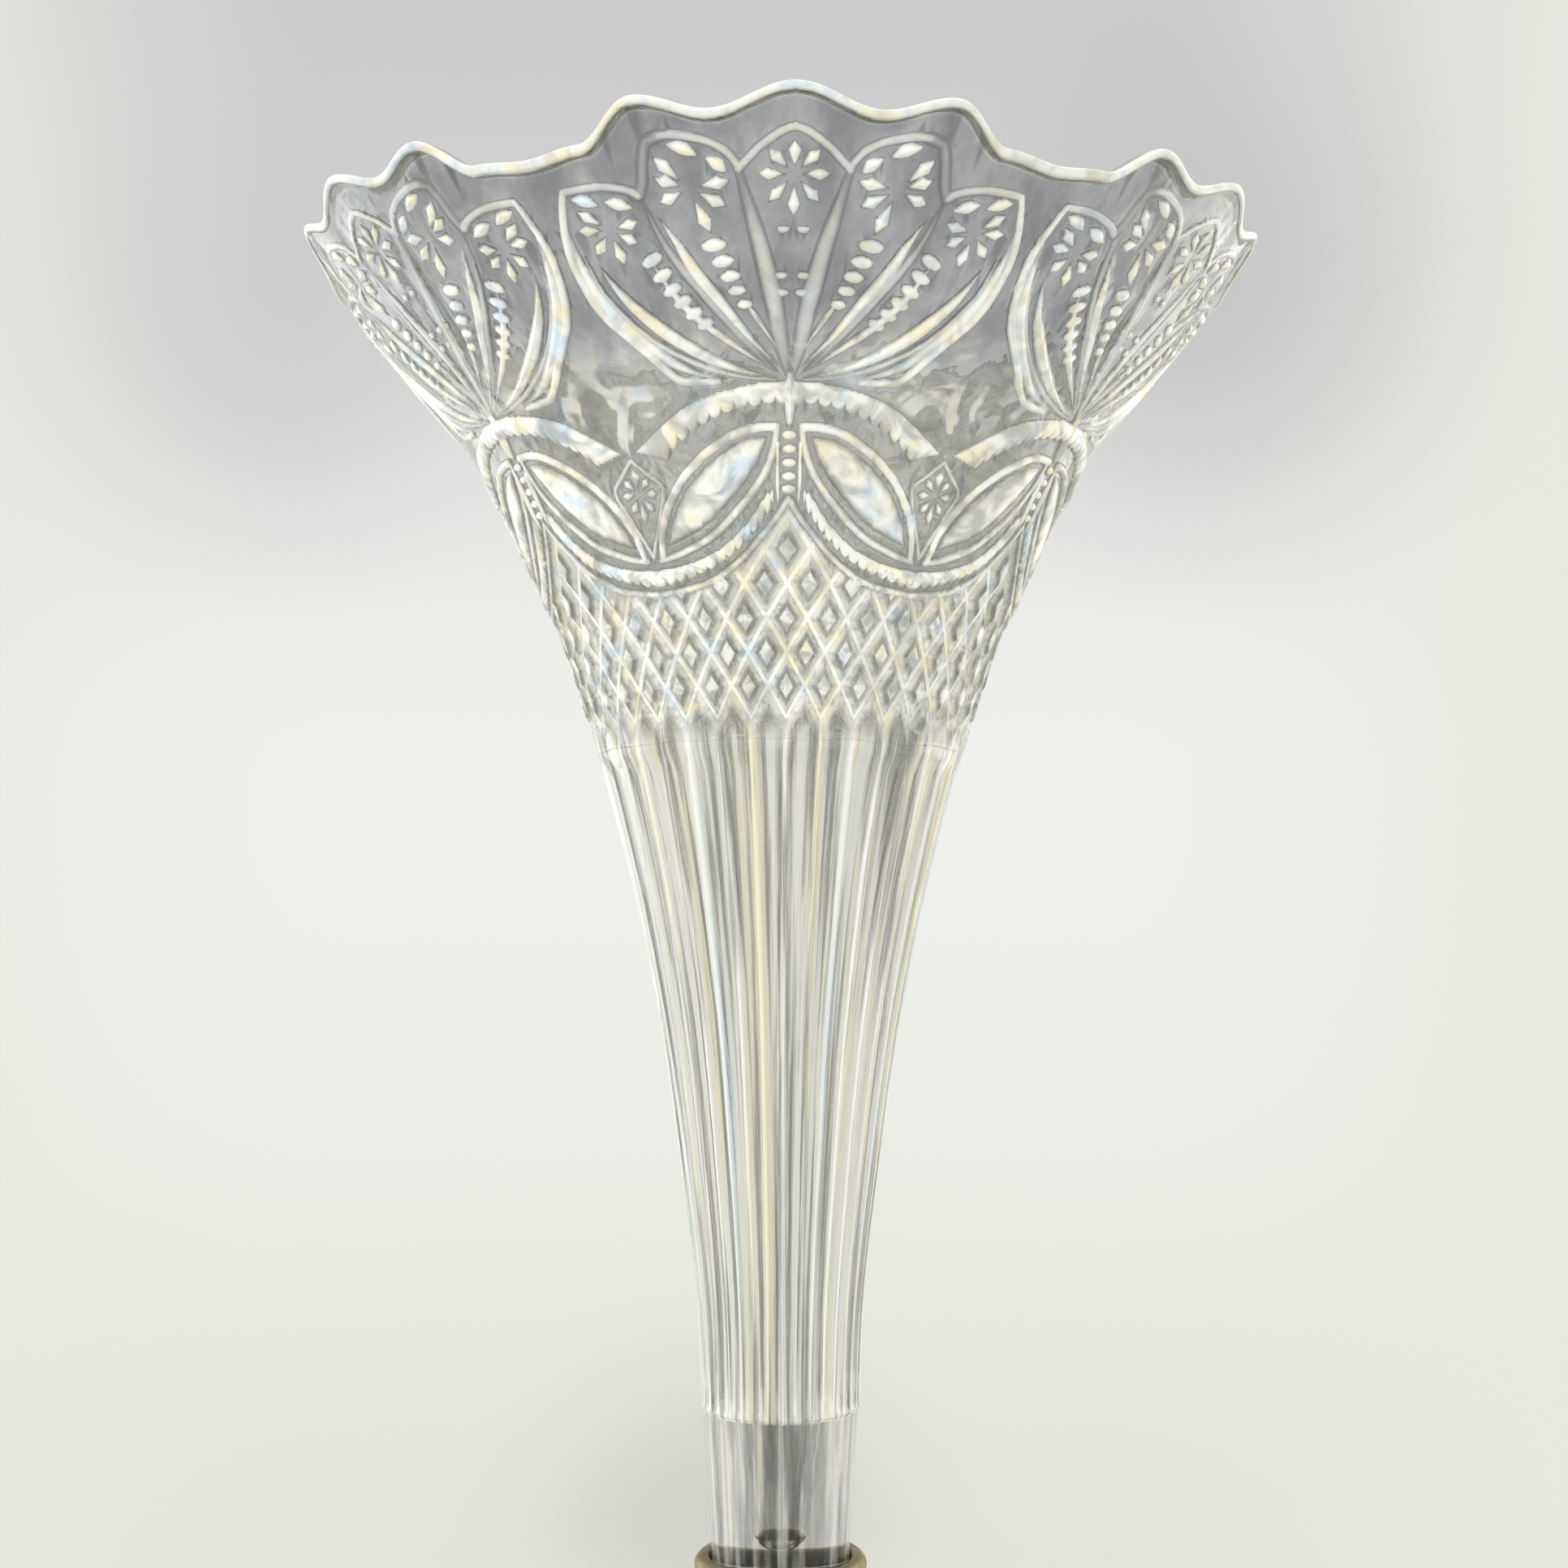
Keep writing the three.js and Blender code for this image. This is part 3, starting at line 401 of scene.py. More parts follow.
LENS_FOOT = (
    (2.2, 162.5), (2.5, 160.4), (3.2, 158.6), (4.2, 157.1), (5.3, 155.8), (7.4, 153.9), (9.8, 152.2),
    (12.2, 150.7), (14.6, 149.4), (17.6, 148.2), (20.7, 147.4), (24.2, 146.6), (28.2, 146.1),
)
FESTOON_INNER = (
    (2.4, 161.5), (2.8, 158.9), (3.7, 156.9), (4.9, 155.3), (6.8, 153.3), (9.0, 151.4),
    (11.8, 149.6), (14.9, 148.1), (18.0, 147.2), (21.0, 146.5), (25.0, 146.0), (30, 145.75),
)
FESTOON_OUTER = (
    (1.6, 158.0), (2.0, 155.4), (2.7, 154.0), (4.2, 152.2), (6.3, 150.3), (8.4, 148.8), (10.6, 147.4),
    (13.0, 146.3), (15.6, 145.4), (18.2, 144.7), (20.7, 144.2), (26.3, 143.3), (30, 143.0),
)
FIELD_TOP = (
    (0, 153.4), (1.4, 151.9), (3.2, 150.3), (5.1, 148.9), (8.4, 146.6),
    (11.9, 144.8), (15.4, 143.4), (19.2, 142.5), (24.6, 141.9), (30, 141.6),
)
ARCH_TEETH_OVERHANG = 0.9
LENS_SIDES = (2.2, 28.4)
LENS_FRAME = 1.25
LENS_FLOOR = -0.35
CUSHION_RISE = 1.05
CUSHION_REACH = 3.4
CUSHION_GAP_ABOVE = 0.2
CUSHION_GAP_BELOW = 1.2
FESTOON_START = 1.8
FESTOON_GAP = 1.0
FESTOON_TEETH_OVERHANG = 0.3
LADDER_HEIGHTS = (161.4, 159.7, 158.0, 156.3, 154.7)
LADDER_BAR = ((0, 163.0), (0, 168.4))
SMALL_STAR = (30, 154.8)
SMALL_TIPS = ((30, 158.3), (27.1, 157.0), (25.8, 154.8), (27.3, 152.4), (30, 150.9))
KITE_SIDE = ((30, 159.2), (27.2, 157.3), (24.6, 155.3), (26.6, 151.6), (28.6, 148.6), (30, 146.6))


def press_fan(wall):
    """Arches and soft ribs as cords, stars and spears as sharp leaves, and rows of beads that get smaller."""
    for cord in FAN_CORDS:
        wall.cord(*cord)
    for star in FAN_STARS:
        wall.star(*star)
    for leaf in FAN_LEAVES:
        wall.leaf(*leaf)
    for centres, length, shorter, width, narrower, rise, lean in FAN_BEADS:
        for number, centre in enumerate(centres):
            wall.bead(centre, length - shorter * number, width - narrower * number, rise, lean)


def rounded_band(from_top, from_foot, width, rise):
    """A band whose back is half an oval, worked out from how far in from its nearer edge a point lies."""
    middle = np.clip(np.minimum(from_top, from_foot) / (width / 2), 0, 1)
    return rise * np.sqrt(middle * (2 - middle))


def press_arch(wall):
    """A round-backed band under the fan: its top edge is smooth, its lower edge a row of teeth."""
    below_top = -wall.line(ARCH_TOP)
    above_foot = wall.line(ARCH_FOOT) + teeth(wall, ARCH_FOOT, pitch=1.9, depth=1.0) - ARCH_TEETH_OVERHANG
    above_foot = np.minimum(above_foot, wall.line(ARCH_END))
    wall.relief = np.maximum(wall.relief, rounded_band(below_top, above_foot, width=2.2, rise=0.75))


def press_lens(wall):
    """A cushion between two edges, its height the root of the gap to the nearer edge, in a raised frame."""
    below_top = -wall.line(LENS_TOP)
    above_foot = wall.line(LENS_FOOT)
    between_sides = (wall.angle > LENS_SIDES[0]) & (wall.angle < LENS_SIDES[1])
    inside = between_sides & (below_top > 0) & (above_foot > 0)
    frame_band = rounded_band(below_top, LENS_FRAME - below_top, width=LENS_FRAME, rise=0.65)
    gap = np.minimum(below_top - LENS_FRAME - CUSHION_GAP_ABOVE, above_foot - CUSHION_GAP_BELOW)
    cushion = CUSHION_RISE * np.sqrt(np.clip(gap / CUSHION_REACH, 0, 1)) + LENS_FLOOR
    lens = np.maximum(np.where(below_top < LENS_FRAME, frame_band, LENS_FLOOR), cushion)
    wall.relief = np.where(inside, np.maximum(lens, LENS_FLOOR), wall.relief)
    wall.cord(LENS_FOOT, half_width=0.7, rise=0.4, taper=0.2)


def press_festoon(wall):
    """The hanging band round the lens: a smooth upper edge and teeth along the lower one."""
    below = -wall.line(FESTOON_INNER) - FESTOON_GAP
    above = wall.line(FESTOON_OUTER) + teeth(wall, FESTOON_OUTER, pitch=1.7, depth=0.8)
    above = above - FESTOON_TEETH_OVERHANG
    band = np.where(wall.angle > FESTOON_START, rounded_band(below, above, width=1.7, rise=0.65), 0)
    wall.relief = np.maximum(wall.relief, band)


def press_ladder(wall):
    """The upright ladder between two lenses, a row of level ovals, and the bar that joins it to the fan."""
    for height in LADDER_HEIGHTS:
        wall.bead((0, height), half_length=1.05, half_width=0.62, rise=0.6)
    wall.cord(LADDER_BAR, half_width=0.7, rise=0.95, taper=0.3)


def press_small_star(wall):
    """The small star in its kite, between the arches of two neighbouring fans."""
    wall.star(SMALL_STAR, SMALL_TIPS, half_width=0.75, steepness=0.8)
    wall.cord(KITE_SIDE, half_width=0.4, rise=0.3)


def press_diamonds(wall):
    """Truncated pyramids on a slanting net: flanks fall to the nearest groove, the field ends in a zigzag.

    Under the zigzag the wall starts nearly as deep as the grooves and slopes out. A fine edge tops the field.
    """
    steps = (DIAMOND_NODE_HEIGHT - wall.height) / DIAMOND_TALL
    right = wall.angle / DIAMOND_PITCH + steps
    left = wall.angle / DIAMOND_PITCH - steps
    to_groove = 2 * np.minimum(np.abs(right - np.round(right)), np.abs(left - np.round(left)))
    flank = np.clip((to_groove - GROOVE_FLOOR) / (DIAMOND_FLANK - GROOVE_FLOOR), 0, 1)
    pyramid = DIAMOND_DEPTH * (flank - DIAMOND_SUNK)
    below_top = -wall.line(FIELD_TOP)
    turn = np.abs(wall.angle / DIAMOND_PITCH - np.round(wall.angle / DIAMOND_PITCH))
    above_foot = wall.height - DIAMOND_LOW_TIP - DIAMOND_TALL * turn
    field = (below_top > 0) & (above_foot > 0)
    under_field = (above_foot <= 0) & (wall.height < APRON_TOP_HEIGHT)
    apron = -APRON_DEPTH * np.clip(1 + above_foot / APRON_SPAN, 0, 1)
    wall.relief = np.where(field, pyramid, np.where(under_field, apron, wall.relief))
    at_edge = (np.abs(below_top) < FIELD_EDGE_WIDTH) & (wall.height > FIELD_EDGE_START_HEIGHT)
    edge = FIELD_EDGE_RISE * (1 - (below_top[at_edge] / FIELD_EDGE_WIDTH) ** 2)
    wall.relief[at_edge] = np.maximum(wall.relief[at_edge], edge)


def ornament(angle, height):
    """Height of the pressed ornament over the smooth wall, in millimetres square to the wall."""
    wall = Wall(angle, height)
    for press in (
        press_fan, press_arch, press_lens, press_festoon, press_ladder, press_small_star, press_diamonds,
    ):
        press(wall)
    return wall.relief


def flutes(angle, height):
    """Depth of the flutes: a round hollow between sharp ridges, cut off by a ramp at its upper end."""
    turn = angle / FLUTE_PITCH - np.floor(angle / FLUTE_PITCH)
    hollow = 1 - (2 * turn - 1) ** 2
    depth = FLUTE_DEPTH_SHARE * np.radians(FLUTE_PITCH) * body_radius(height)
    ramp = np.clip((FLUTE_TOP_HEIGHT - height) * FLUTE_RAMP, 0, None)
    start = np.clip((height - SHOULDER_HEIGHT - FLUTE_START_GAP) / FLUTE_START_SPAN, 0, 1)
    return -np.minimum(depth * hollow, ramp) * start


def rim_bead(angle, height):
    """A rounded swelling just under the rim's edge, which follows the scallops."""
    under = (GLASS_HEIGHT - rim_drop(angle) - height) * np.sqrt(1 + body_slope(height) ** 2)
    return RIM_BEAD_RISE * np.clip(1 - ((under - RIM_BEAD_WIDTH) / RIM_BEAD_WIDTH) ** 2, 0, 1)


def lowered(angle, height):
    """Height of a point of the upper wall after the scallops have pulled it down."""
    share = np.clip((height - SCALLOP_START_HEIGHT) / (GLASS_HEIGHT - SCALLOP_START_HEIGHT), 0, 1)
    return height - share * rim_drop(angle)


def outer_wall(angle, height):
    """Radius and height of the outer wall, pushed square to it by its relief, and the ornament's height."""
    at = lowered(angle, height)
    relief = np.where(at < FLUTE_TOP_HEIGHT, flutes(angle, at), 0)
    upper = at >= ORNAMENT_START
    pressed = np.zeros_like(at)
    if upper.any():
        pressed[upper] = ornament(angle[upper], at[upper])
    inset = WALL_INSET * ease((at - INSET_START_HEIGHT) / INSET_SPAN)
    bead = rim_bead(angle, at) * (at > RIM_BEAD_START_HEIGHT)
    relief = relief + pressed - inset + bead
    # The bead under the rim is marked as raised too, so it takes the painted highlight
    pressed = np.where(bead > pressed, bead + np.minimum(pressed, 0), pressed)
    slope = body_slope(at)
    slant = np.sqrt(1 + slope ** 2)
    return body_radius(at) + relief / slant, at - relief * slope / slant, pressed


def inner_wall(angle, height):
    """Radius and height of the smooth inner wall, which the scallops pull down with the outer one."""
    at = lowered(angle, height)
    return cavity_radius(height) - body_radius(height) + body_radius(at), at, np.zeros_like(at)


def glass_rows():
    """The glass from the middle of the peg's end, up the outside, over the rim and down to the hollow's tip.

    Gives the angles of its columns, and for every point its radius, height and ornament's height.
    """
    angles = np.linspace(0, HALF_SECTOR, COLUMNS)
    level = np.ones(COLUMNS)

    def plain(points):
        return [(radius * level, height * level, 0 * level) for radius, height in points]

    def band(surface, heights):
        angle, height = np.meshgrid(angles, heights)
        return list(zip(*surface(angle, height)))

    bottom = -PEG_HIDDEN_LENGTH
    peg_slope = (PEG_SHOULDER_RADIUS - PEG_COLLAR_RADIUS) / SHOULDER_HEIGHT
    peg_foot = PEG_COLLAR_RADIUS + peg_slope * bottom
    rows = plain([(0, bottom), (peg_foot / 2, bottom), (peg_foot - PEG_CHAMFER, bottom)])
    cut = PEG_CHAMFER * PEG_CHAMFER_TURN
    rows += plain([(peg_foot - cut, bottom + cut), (peg_foot, bottom + PEG_CHAMFER)])
    rows += plain([(PEG_COLLAR_RADIUS + peg_slope * height, height) for height in PEG_ROWS])
    rows += plain([(PEG_SHOULDER_RADIUS + PEG_TOP_FLARE, SHOULDER_HEIGHT)])
    rows += plain([(BODY_RADII[0] - SHOULDER_EDGE, SHOULDER_HEIGHT + 2 * SHOULDER_EDGE)])
    rows += band(outer_wall, FLUTE_START_ROWS)
    rows += band(outer_wall, FLUTE_ROWS)
    rows += band(outer_wall, ORNAMENT_ROWS)
    out_radius, out_height, _ = band(outer_wall, [RIM_EDGE_HEIGHT])[0]
    in_radius, in_height, _ = band(inner_wall, [RIM_EDGE_HEIGHT])[0]
    middle_radius = (out_radius + in_radius) / 2
    middle_height = (out_height + in_height) / 2
    for turn in RIM_ROLL_TURNS:
        across = math.copysign(abs(math.cos(turn)) ** RIM_ROLL_SQUARENESS, math.cos(turn))
        up = math.sin(turn) ** RIM_ROLL_SQUARENESS
        radius = middle_radius + (out_radius - middle_radius) * across + RIM_ROLL_LEAN * up
        height = middle_height + (out_height - middle_height) * across + RIM_ROLL_HEIGHT * up
        # The roll's outer side is marked as raised, which gives it the painted highlight
        outer_side = 1 - ease((turn / np.pi - RIM_HIGHLIGHT_SHARE) / RIM_HIGHLIGHT_SHARE)
        rows.append((radius, height, RIM_BEAD_RISE * outer_side * level))
    rows += band(inner_wall, INNER_ROWS)
    rows += plain([(cavity_radius(height), height) for height in CONE_ROWS])
    tip = CONE_ROWS[-1]
    for turn in CAVITY_TIP_TURNS:
        rows += plain([(CAVITY_TIP_RADIUS * math.cos(turn), tip - CAVITY_TIP_RADIUS * math.sin(turn))])
    rows += plain([(0, tip - CAVITY_TIP_RADIUS)])
    return np.radians(angles), *(np.array(values) for values in zip(*rows))


def grid_faces(rows, columns):
    """Squares between neighbouring rows and columns of a grid of points."""
    row, column = np.meshgrid(np.arange(rows - 1), np.arange(columns - 1), indexing="ij")
    corner = (row * columns + column).ravel()
    return np.stack([corner, corner + 1, corner + columns + 1, corner + columns], axis=1)


def unit(vectors):
    return vectors / np.maximum(np.linalg.norm(vectors, axis=-1, keepdims=True), 1e-12)


def grid_normals(points):
    """Normals of a grid of points: the cross product of its two directions, level with the side planes."""
    normals = unit(np.cross(np.gradient(points, axis=1), np.gradient(points, axis=0)))
    for column, turn in ((0, 0), (-1, math.radians(HALF_SECTOR))):
        across = np.array([math.cos(turn), math.sin(turn), 0])
        normals[:, column] -= (normals[:, column] @ across)[:, None] * across
    normals[0] = (0, 0, -1)
    normals[-1] = (0, 0, 1)
    return unit(normals)


def welded(mesh, reach, mend):
    """Makes points of a mesh that lie within a reach one, then mends the mesh in one more way."""
    work = bmesh.new()
    work.from_mesh(mesh)
    bmesh.ops.remove_doubles(work, verts=work.verts, dist=reach)
    mend(work)
    work.to_mesh(mesh)
    work.free()


def placed(name, data):
    """A new object in the scene, at the origin."""
    made = bpy.data.objects.new(name, data)
    bpy.context.scene.collection.objects.link(made)
    return made


def wedge_mesh(points):
    """The wedge's grid as a mesh, each face corner marked with its column and row as shares of the grid."""
    rows, columns = points.shape[:2]
    faces = grid_faces(rows, columns)
    mesh = bpy.data.meshes.new("wedge")
    mesh.from_pydata(points.reshape(-1, 3).tolist(), [], faces.tolist())
    place = np.stack([faces % columns / (columns - 1), faces // columns / (rows - 1)], axis=2)
    mesh.uv_layers.new(name="place").data.foreach_set("uv", place.ravel())

    def drop_flat_faces(work):
        bmesh.ops.dissolve_degenerate(work, edges=work.edges, dist=WELD_REACH)

    welded(mesh, WELD_REACH, drop_flat_faces)
    return mesh


def thinned(mesh, triangles):
    """The same surface with fewer triangles, kept where the surface bends: points, triangles and places."""
    wedge = placed("thinning", mesh)
    modifier = wedge.modifiers.new("thin", "DECIMATE")
    modifier.ratio = triangles / sum(len(face.vertices) - 2 for face in mesh.polygons)
    modifier.use_collapse_triangulate = True
    graph = bpy.context.evaluated_depsgraph_get()
    result = bpy.data.meshes.new_from_object(wedge.evaluated_get(graph))
    bpy.data.objects.remove(wedge)

    def values(rows, name, width, kind=float):
        found = np.empty(len(rows) * width, dtype=kind)
        rows.foreach_get(name, found)
        return found

    points = values(result.vertices, "co", 3).reshape(-1, 3)
    corners = values(result.loops, "vertex_index", 1, np.int32).reshape(-1, 3)
    places = values(result.uv_layers["place"].data, "uv", 2).reshape(-1, 3, 2)
    return points, corners, places


def blended(grid, places):
    """Values of a grid at places, shares of its columns and rows, blended between the four around each."""
    rows, columns = grid.shape[:2]
    column = np.clip(places[..., 0], 0, 1) * (columns - 1)
    row = np.clip(places[..., 1], 0, 1) * (rows - 1)
    left = np.clip(column.astype(int), 0, columns - 2)
    low = np.clip(row.astype(int), 0, rows - 2)
    across = (column - left)[..., None]
    up = (row - low)[..., None]
    below = grid[low, left] * (1 - across) + grid[low, left + 1] * across
    above = grid[low + 1, left] * (1 - across) + grid[low + 1, left + 1] * across
    return below * (1 - up) + above * up


def corner_normals(normals, points, triangles, places):
    """Normals of the face corners: the fine grid's, at an edge those a little way into the face.

    Where even these lie far off the face's own, its own is taken.
    """
    first, second, third = (points[triangles[:, corner]] for corner in range(3))
    flat = unit(np.cross(second - first, third - first))[:, None, :]
    at_corner = unit(blended(normals, places))
    inside = unit(blended(normals, places + CORNER_PULL * (places.mean(axis=1, keepdims=True) - places)))
    on_edge = np.sum(at_corner * flat, axis=2, keepdims=True) < math.cos(math.radians(EDGE_BEND))
    chosen = np.where(on_edge, inside, at_corner)
    astray = np.sum(chosen * flat, axis=2, keepdims=True) < math.cos(math.radians(LARGEST_LEAN))
    return np.where(astray, flat, chosen)


def snapped(points, triangles):
    """Puts the open edges of the wedge exactly on its two side planes, and its poles on the axis."""
    sides = [triangles[:, pair] for pair in ([0, 1], [1, 2], [2, 0])]
    edges, uses = np.unique(np.sort(np.concatenate(sides), axis=1), axis=0, return_counts=True)
    open_points = np.unique(edges[uses == 1])
    turn = np.arctan2(points[open_points, 0], -points[open_points, 1])
    reach = np.hypot(points[open_points, 0], points[open_points, 1])
    side = np.where(turn < math.radians(HALF_SECTOR / 2), 0, math.radians(HALF_SECTOR))
    reach = np.where(reach < AXIS_REACH, 0, reach)
    points[open_points, 0] = reach * np.sin(side)
    points[open_points, 1] = -reach * np.cos(side)
    return points


def whole_mesh(name, points, triangles, normals, pressed):
    """A mesh in metres: points at the same place become one, and the corners get their normals and marks."""
    keys, places = np.unique(np.round(points, WELD_DIGITS), axis=0, return_inverse=True)
    triangles = places.reshape(-1)[triangles]
    sound = (triangles[:, 0] != triangles[:, 1]) & (triangles[:, 1] != triangles[:, 2])
    sound &= triangles[:, 2] != triangles[:, 0]
    triangles = triangles[sound]
    mesh = bpy.data.meshes.new(name)
    mesh.from_pydata((keys * MM).tolist(), [], triangles.tolist())
    mesh.polygons.foreach_set("use_smooth", [True] * len(mesh.polygons))
    mesh.normals_split_custom_set(normals[sound].reshape(-1, 3).tolist())
    mesh.attributes.new(PRESSED, "FLOAT", "CORNER").data.foreach_set("value", pressed[sound].ravel())
    return mesh


def make_glass():
    """The wedge from 0 to 30 degrees, thinned, mirrored in its first plane and repeated six times round."""
    angles, radius, height, pressed = glass_rows()
    grid = np.stack([radius * np.sin(angles), -radius * np.cos(angles), height + COLLAR_TOP], axis=2)
    points, triangles, places = thinned(wedge_mesh(grid), GLASS_TRIANGLES / (2 * SECTORS))
    points = snapped(points, triangles)
    normals = corner_normals(grid_normals(grid), points, triangles, places)
    pressed = blended(pressed[..., None], places)[..., 0]
    parts = ([], [], [], [])
    for sector in range(SECTORS):
        turn = 2 * math.pi * sector / SECTORS
        cosine = math.cos(turn)
        sine = math.sin(turn)
        rotation = np.array([[cosine, -sine, 0], [sine, cosine, 0], [0, 0, 1]])
        for flip, order in ((1, [0, 1, 2]), (-1, [0, 2, 1])):
            copy = (
                points * [flip, 1, 1] @ rotation.T,
                triangles[:, order] + len(points) * len(parts[0]),
                normals[:, order] * [flip, 1, 1] @ rotation.T,
                pressed[:, order],
            )
            for part, values in zip(parts, copy):
                part.append(values)
    return placed("pressed_glass", whole_mesh("pressed_glass", *map(np.concatenate, parts)))


# The turned brass foot, lengths in the frame of the CAD part
FOOT_SEGMENTS = 160
FOOT_WELD_REACH = 0.0001
SHARP_ANGLE = 35
SOFTENED_SHARE = 0.45
SOCKET_CLEARANCE = 0.35
ROD_BORE = 2.8
LIP_BREAK = 0.3
CUP_WALL = 1.4
CUP_FOOT_RADIUS = 6.6
CUP_FOOT_STEP = 1
CUP_FLOOR = 3.2
CUP_FLARE = 2.6
CUP_FLARE_START = 0.06
CUP_LINES = (0.78, 0.86)
CUP_LINE_DEPTH = 0.16
CUP_LINE_WIDTH = 0.018
NUT_WELL_RADIUS = 6.4
NUT_HEADROOM = 1.0
BEAD_SWEEP = 80
KNOP_SWEEP = 75
KNOP_RING_DEPTH = 0.2
KNOP_RING_ANGLE = 7
DOME_WALL = 1.6
DOME_TOP_RADIUS = 10.8
DOME_SWEEP = 1.5
DOME_LINES = (0.1, 0.14, 0.8, 0.84)
DOME_LINE_DEPTH = 0.17
DOME_LINE_WIDTH = 0.007
BASE_EDGE_HEIGHT = 3.2
BASE_EDGE_ROUND = 0.9
BASE_STEP_WIDTH = 3.6
BASE_STEP_HEIGHT = 2.4
STEM_BEAD_RADIUS = 1.7
STEM_BEAD_FILLET = 0.2
STEM_NECK_RADIUS = 4.8
STEM_TOP_RADIUS = 6.2
STEM_STEP = 0.5
STEM_NECK_SHARE = 0.62
STEM_FLARE_SHARE = 0.3
STEM_FILLET_SHARE = 0.95


def node_span(node):
    """Lowest height, highest height and largest radius of a CAD node."""
    low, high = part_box(node)
    return low[2] / MM, high[2] / MM, high[0] / MM


def arc(centre, size, start, end, count):
    """Points of a circle in the outline's plane from one direction to another, in degrees."""
    turn = np.radians(np.linspace(start, end, count))
    return [(centre[0] + size * math.cos(t), centre[1] + size * math.sin(t)) for t in turn]


def softened(outline, size):
    """Every corner of a closed outline cut back and rounded by a curve, where its sides allow."""
    here = np.array(outline, float)
    before = np.roll(here, 1, axis=0) - here
    after = np.roll(here, -1, axis=0) - here
    reach = np.minimum(np.linalg.norm(before, axis=1), np.linalg.norm(after, axis=1)) * SOFTENED_SHARE
    reach = np.minimum(reach, size)[:, None]
    start = (here + unit(before) * reach)[:, None]
    end = (here + unit(after) * reach)[:, None]
    share = np.linspace(0, 1, 3)[None, :, None]
    curve = start * (1 - share) ** 2 + 2 * here[:, None] * share * (1 - share) + end * share ** 2
    return curve.reshape(-1, 2)


def revolved(outline, segments):
    """Points of an outline of radii and heights carried round the axis, one copy for each segment."""
    turns = 2 * np.pi * np.arange(segments) / segments
    radius, turn = np.meshgrid(outline[:, 0], turns)
    height = np.tile(outline[:, 1], (segments, 1))
    return np.stack([radius * np.cos(turn), radius * np.sin(turn), height], axis=2).reshape(-1, 3)


def revolved_faces(count, segments, closed):
    """Squares between neighbouring outlines: round the whole of a closed outline, or along an open one."""
    column, row = np.meshgrid(np.arange(segments), np.arange(count if closed else count - 1), indexing="ij")
    beside = (column + 1) % segments * count
    corner = column * count
    above = (row + 1) % count
    faces = np.stack([corner + row, beside + row, beside + above, corner + above], axis=2)
    return faces.reshape(-1, 4)


def turned_lines(share, places, depth, width):
    """How deep fine turned lines cut at a share of the way along an outline."""
    return sum(depth * np.exp(-((share - place) / width) ** 2) for place in places)


def turned(name, outline, node, soft):
    """A turned brass piece in the place of a CAD node: a closed outline, softened, carried round the axis."""
    outline = softened(outline, soft)
    mesh = bpy.data.meshes.new(name)
    points = revolved(outline, FOOT_SEGMENTS) * MM
    mesh.from_pydata(points.tolist(), [], revolved_faces(len(outline), FOOT_SEGMENTS, True).tolist())
    welded(mesh, FOOT_WELD_REACH * MM, lambda work: bmesh.ops.recalc_face_normals(work, faces=work.faces))
    mesh.polygons.foreach_set("use_smooth", [True] * len(mesh.polygons))
    mesh.set_sharp_from_angle(angle=math.radians(SHARP_ANGLE))
    piece = placed(name, mesh)
    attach(piece, "foot")
    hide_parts(node)
    return piece


def socket_radius(height):
    """Bore of cup and collar: the peg's taper plus its clearance."""
    taper = (PEG_SHOULDER_RADIUS - PEG_COLLAR_RADIUS) / SHOULDER_HEIGHT
    return PEG_COLLAR_RADIUS + taper * (height - COLLAR_TOP) + SOCKET_CLEARANCE


def make_collar():
    """The rolled lip at the cup's mouth: a half round outside and a straight bore."""
    bottom, top, radius = node_span("collar_ring")
    lip = (top - bottom) / 2
    bore = socket_radius(top)
    bead = arc((radius - lip, bottom + lip), lip, -BEAD_SWEEP, BEAD_SWEEP, 18)
    outline = [(bore, bottom), (radius - lip, bottom), *bead, (radius - lip, top)]
    outline += [(bore + LIP_BREAK, top), (bore, top - LIP_BREAK)]
    return turned("rolled_collar", outline, "collar_ring", soft=0.12)


def make_cup():
    """The tulip cup: a flared outside with two fine turned lines, and the bore, ledge and well inside."""
    bottom, top, _ = node_span("socket_cup")
    ledge = node_span("cup_nut")[1] + NUT_HEADROOM
    foot = CUP_FOOT_RADIUS + CUP_FOOT_STEP
    depth = top - bottom
    share = np.linspace(0, 1, 30)
    flare = foot + (socket_radius(top) + CUP_WALL - foot) * (1 - (1 - share) ** CUP_FLARE)
    flare -= turned_lines(share, CUP_LINES, CUP_LINE_DEPTH, CUP_LINE_WIDTH)
    heights = bottom + CUP_FLARE_START * depth + share * (1 - CUP_FLARE_START) * depth
    outline = [(ROD_BORE, bottom), (CUP_FOOT_RADIUS, bottom), *zip(flare, heights)]
    outline += [(socket_radius(top), top), (socket_radius(ledge), ledge), (NUT_WELL_RADIUS, ledge)]
    outline += [(NUT_WELL_RADIUS, bottom + CUP_FLOOR), (ROD_BORE, bottom + CUP_FLOOR)]
    return turned("tulip_cup", outline, "socket_cup", soft=0.2)


def make_knop():
    """The knop: a round bead with a fine ring turned round its middle."""
    bottom, top, radius = node_span("knop")
    size = (top - bottom) / 2
    middle = (bottom + top) / 2
    turn = np.radians(np.linspace(-KNOP_SWEEP, KNOP_SWEEP, 41))
    ring = KNOP_RING_DEPTH * (np.clip(1 - (np.degrees(turn) / KNOP_RING_ANGLE) ** 2, 0, 1) - 1)
    side = zip(radius - size + (size + ring) * np.cos(turn), middle + (size + ring) * np.sin(turn))
    outline = [(ROD_BORE, bottom), (radius - size, bottom), *side, (radius - size, top), (ROD_BORE, top)]
    return turned("round_knop", outline, "knop", soft=0.15)


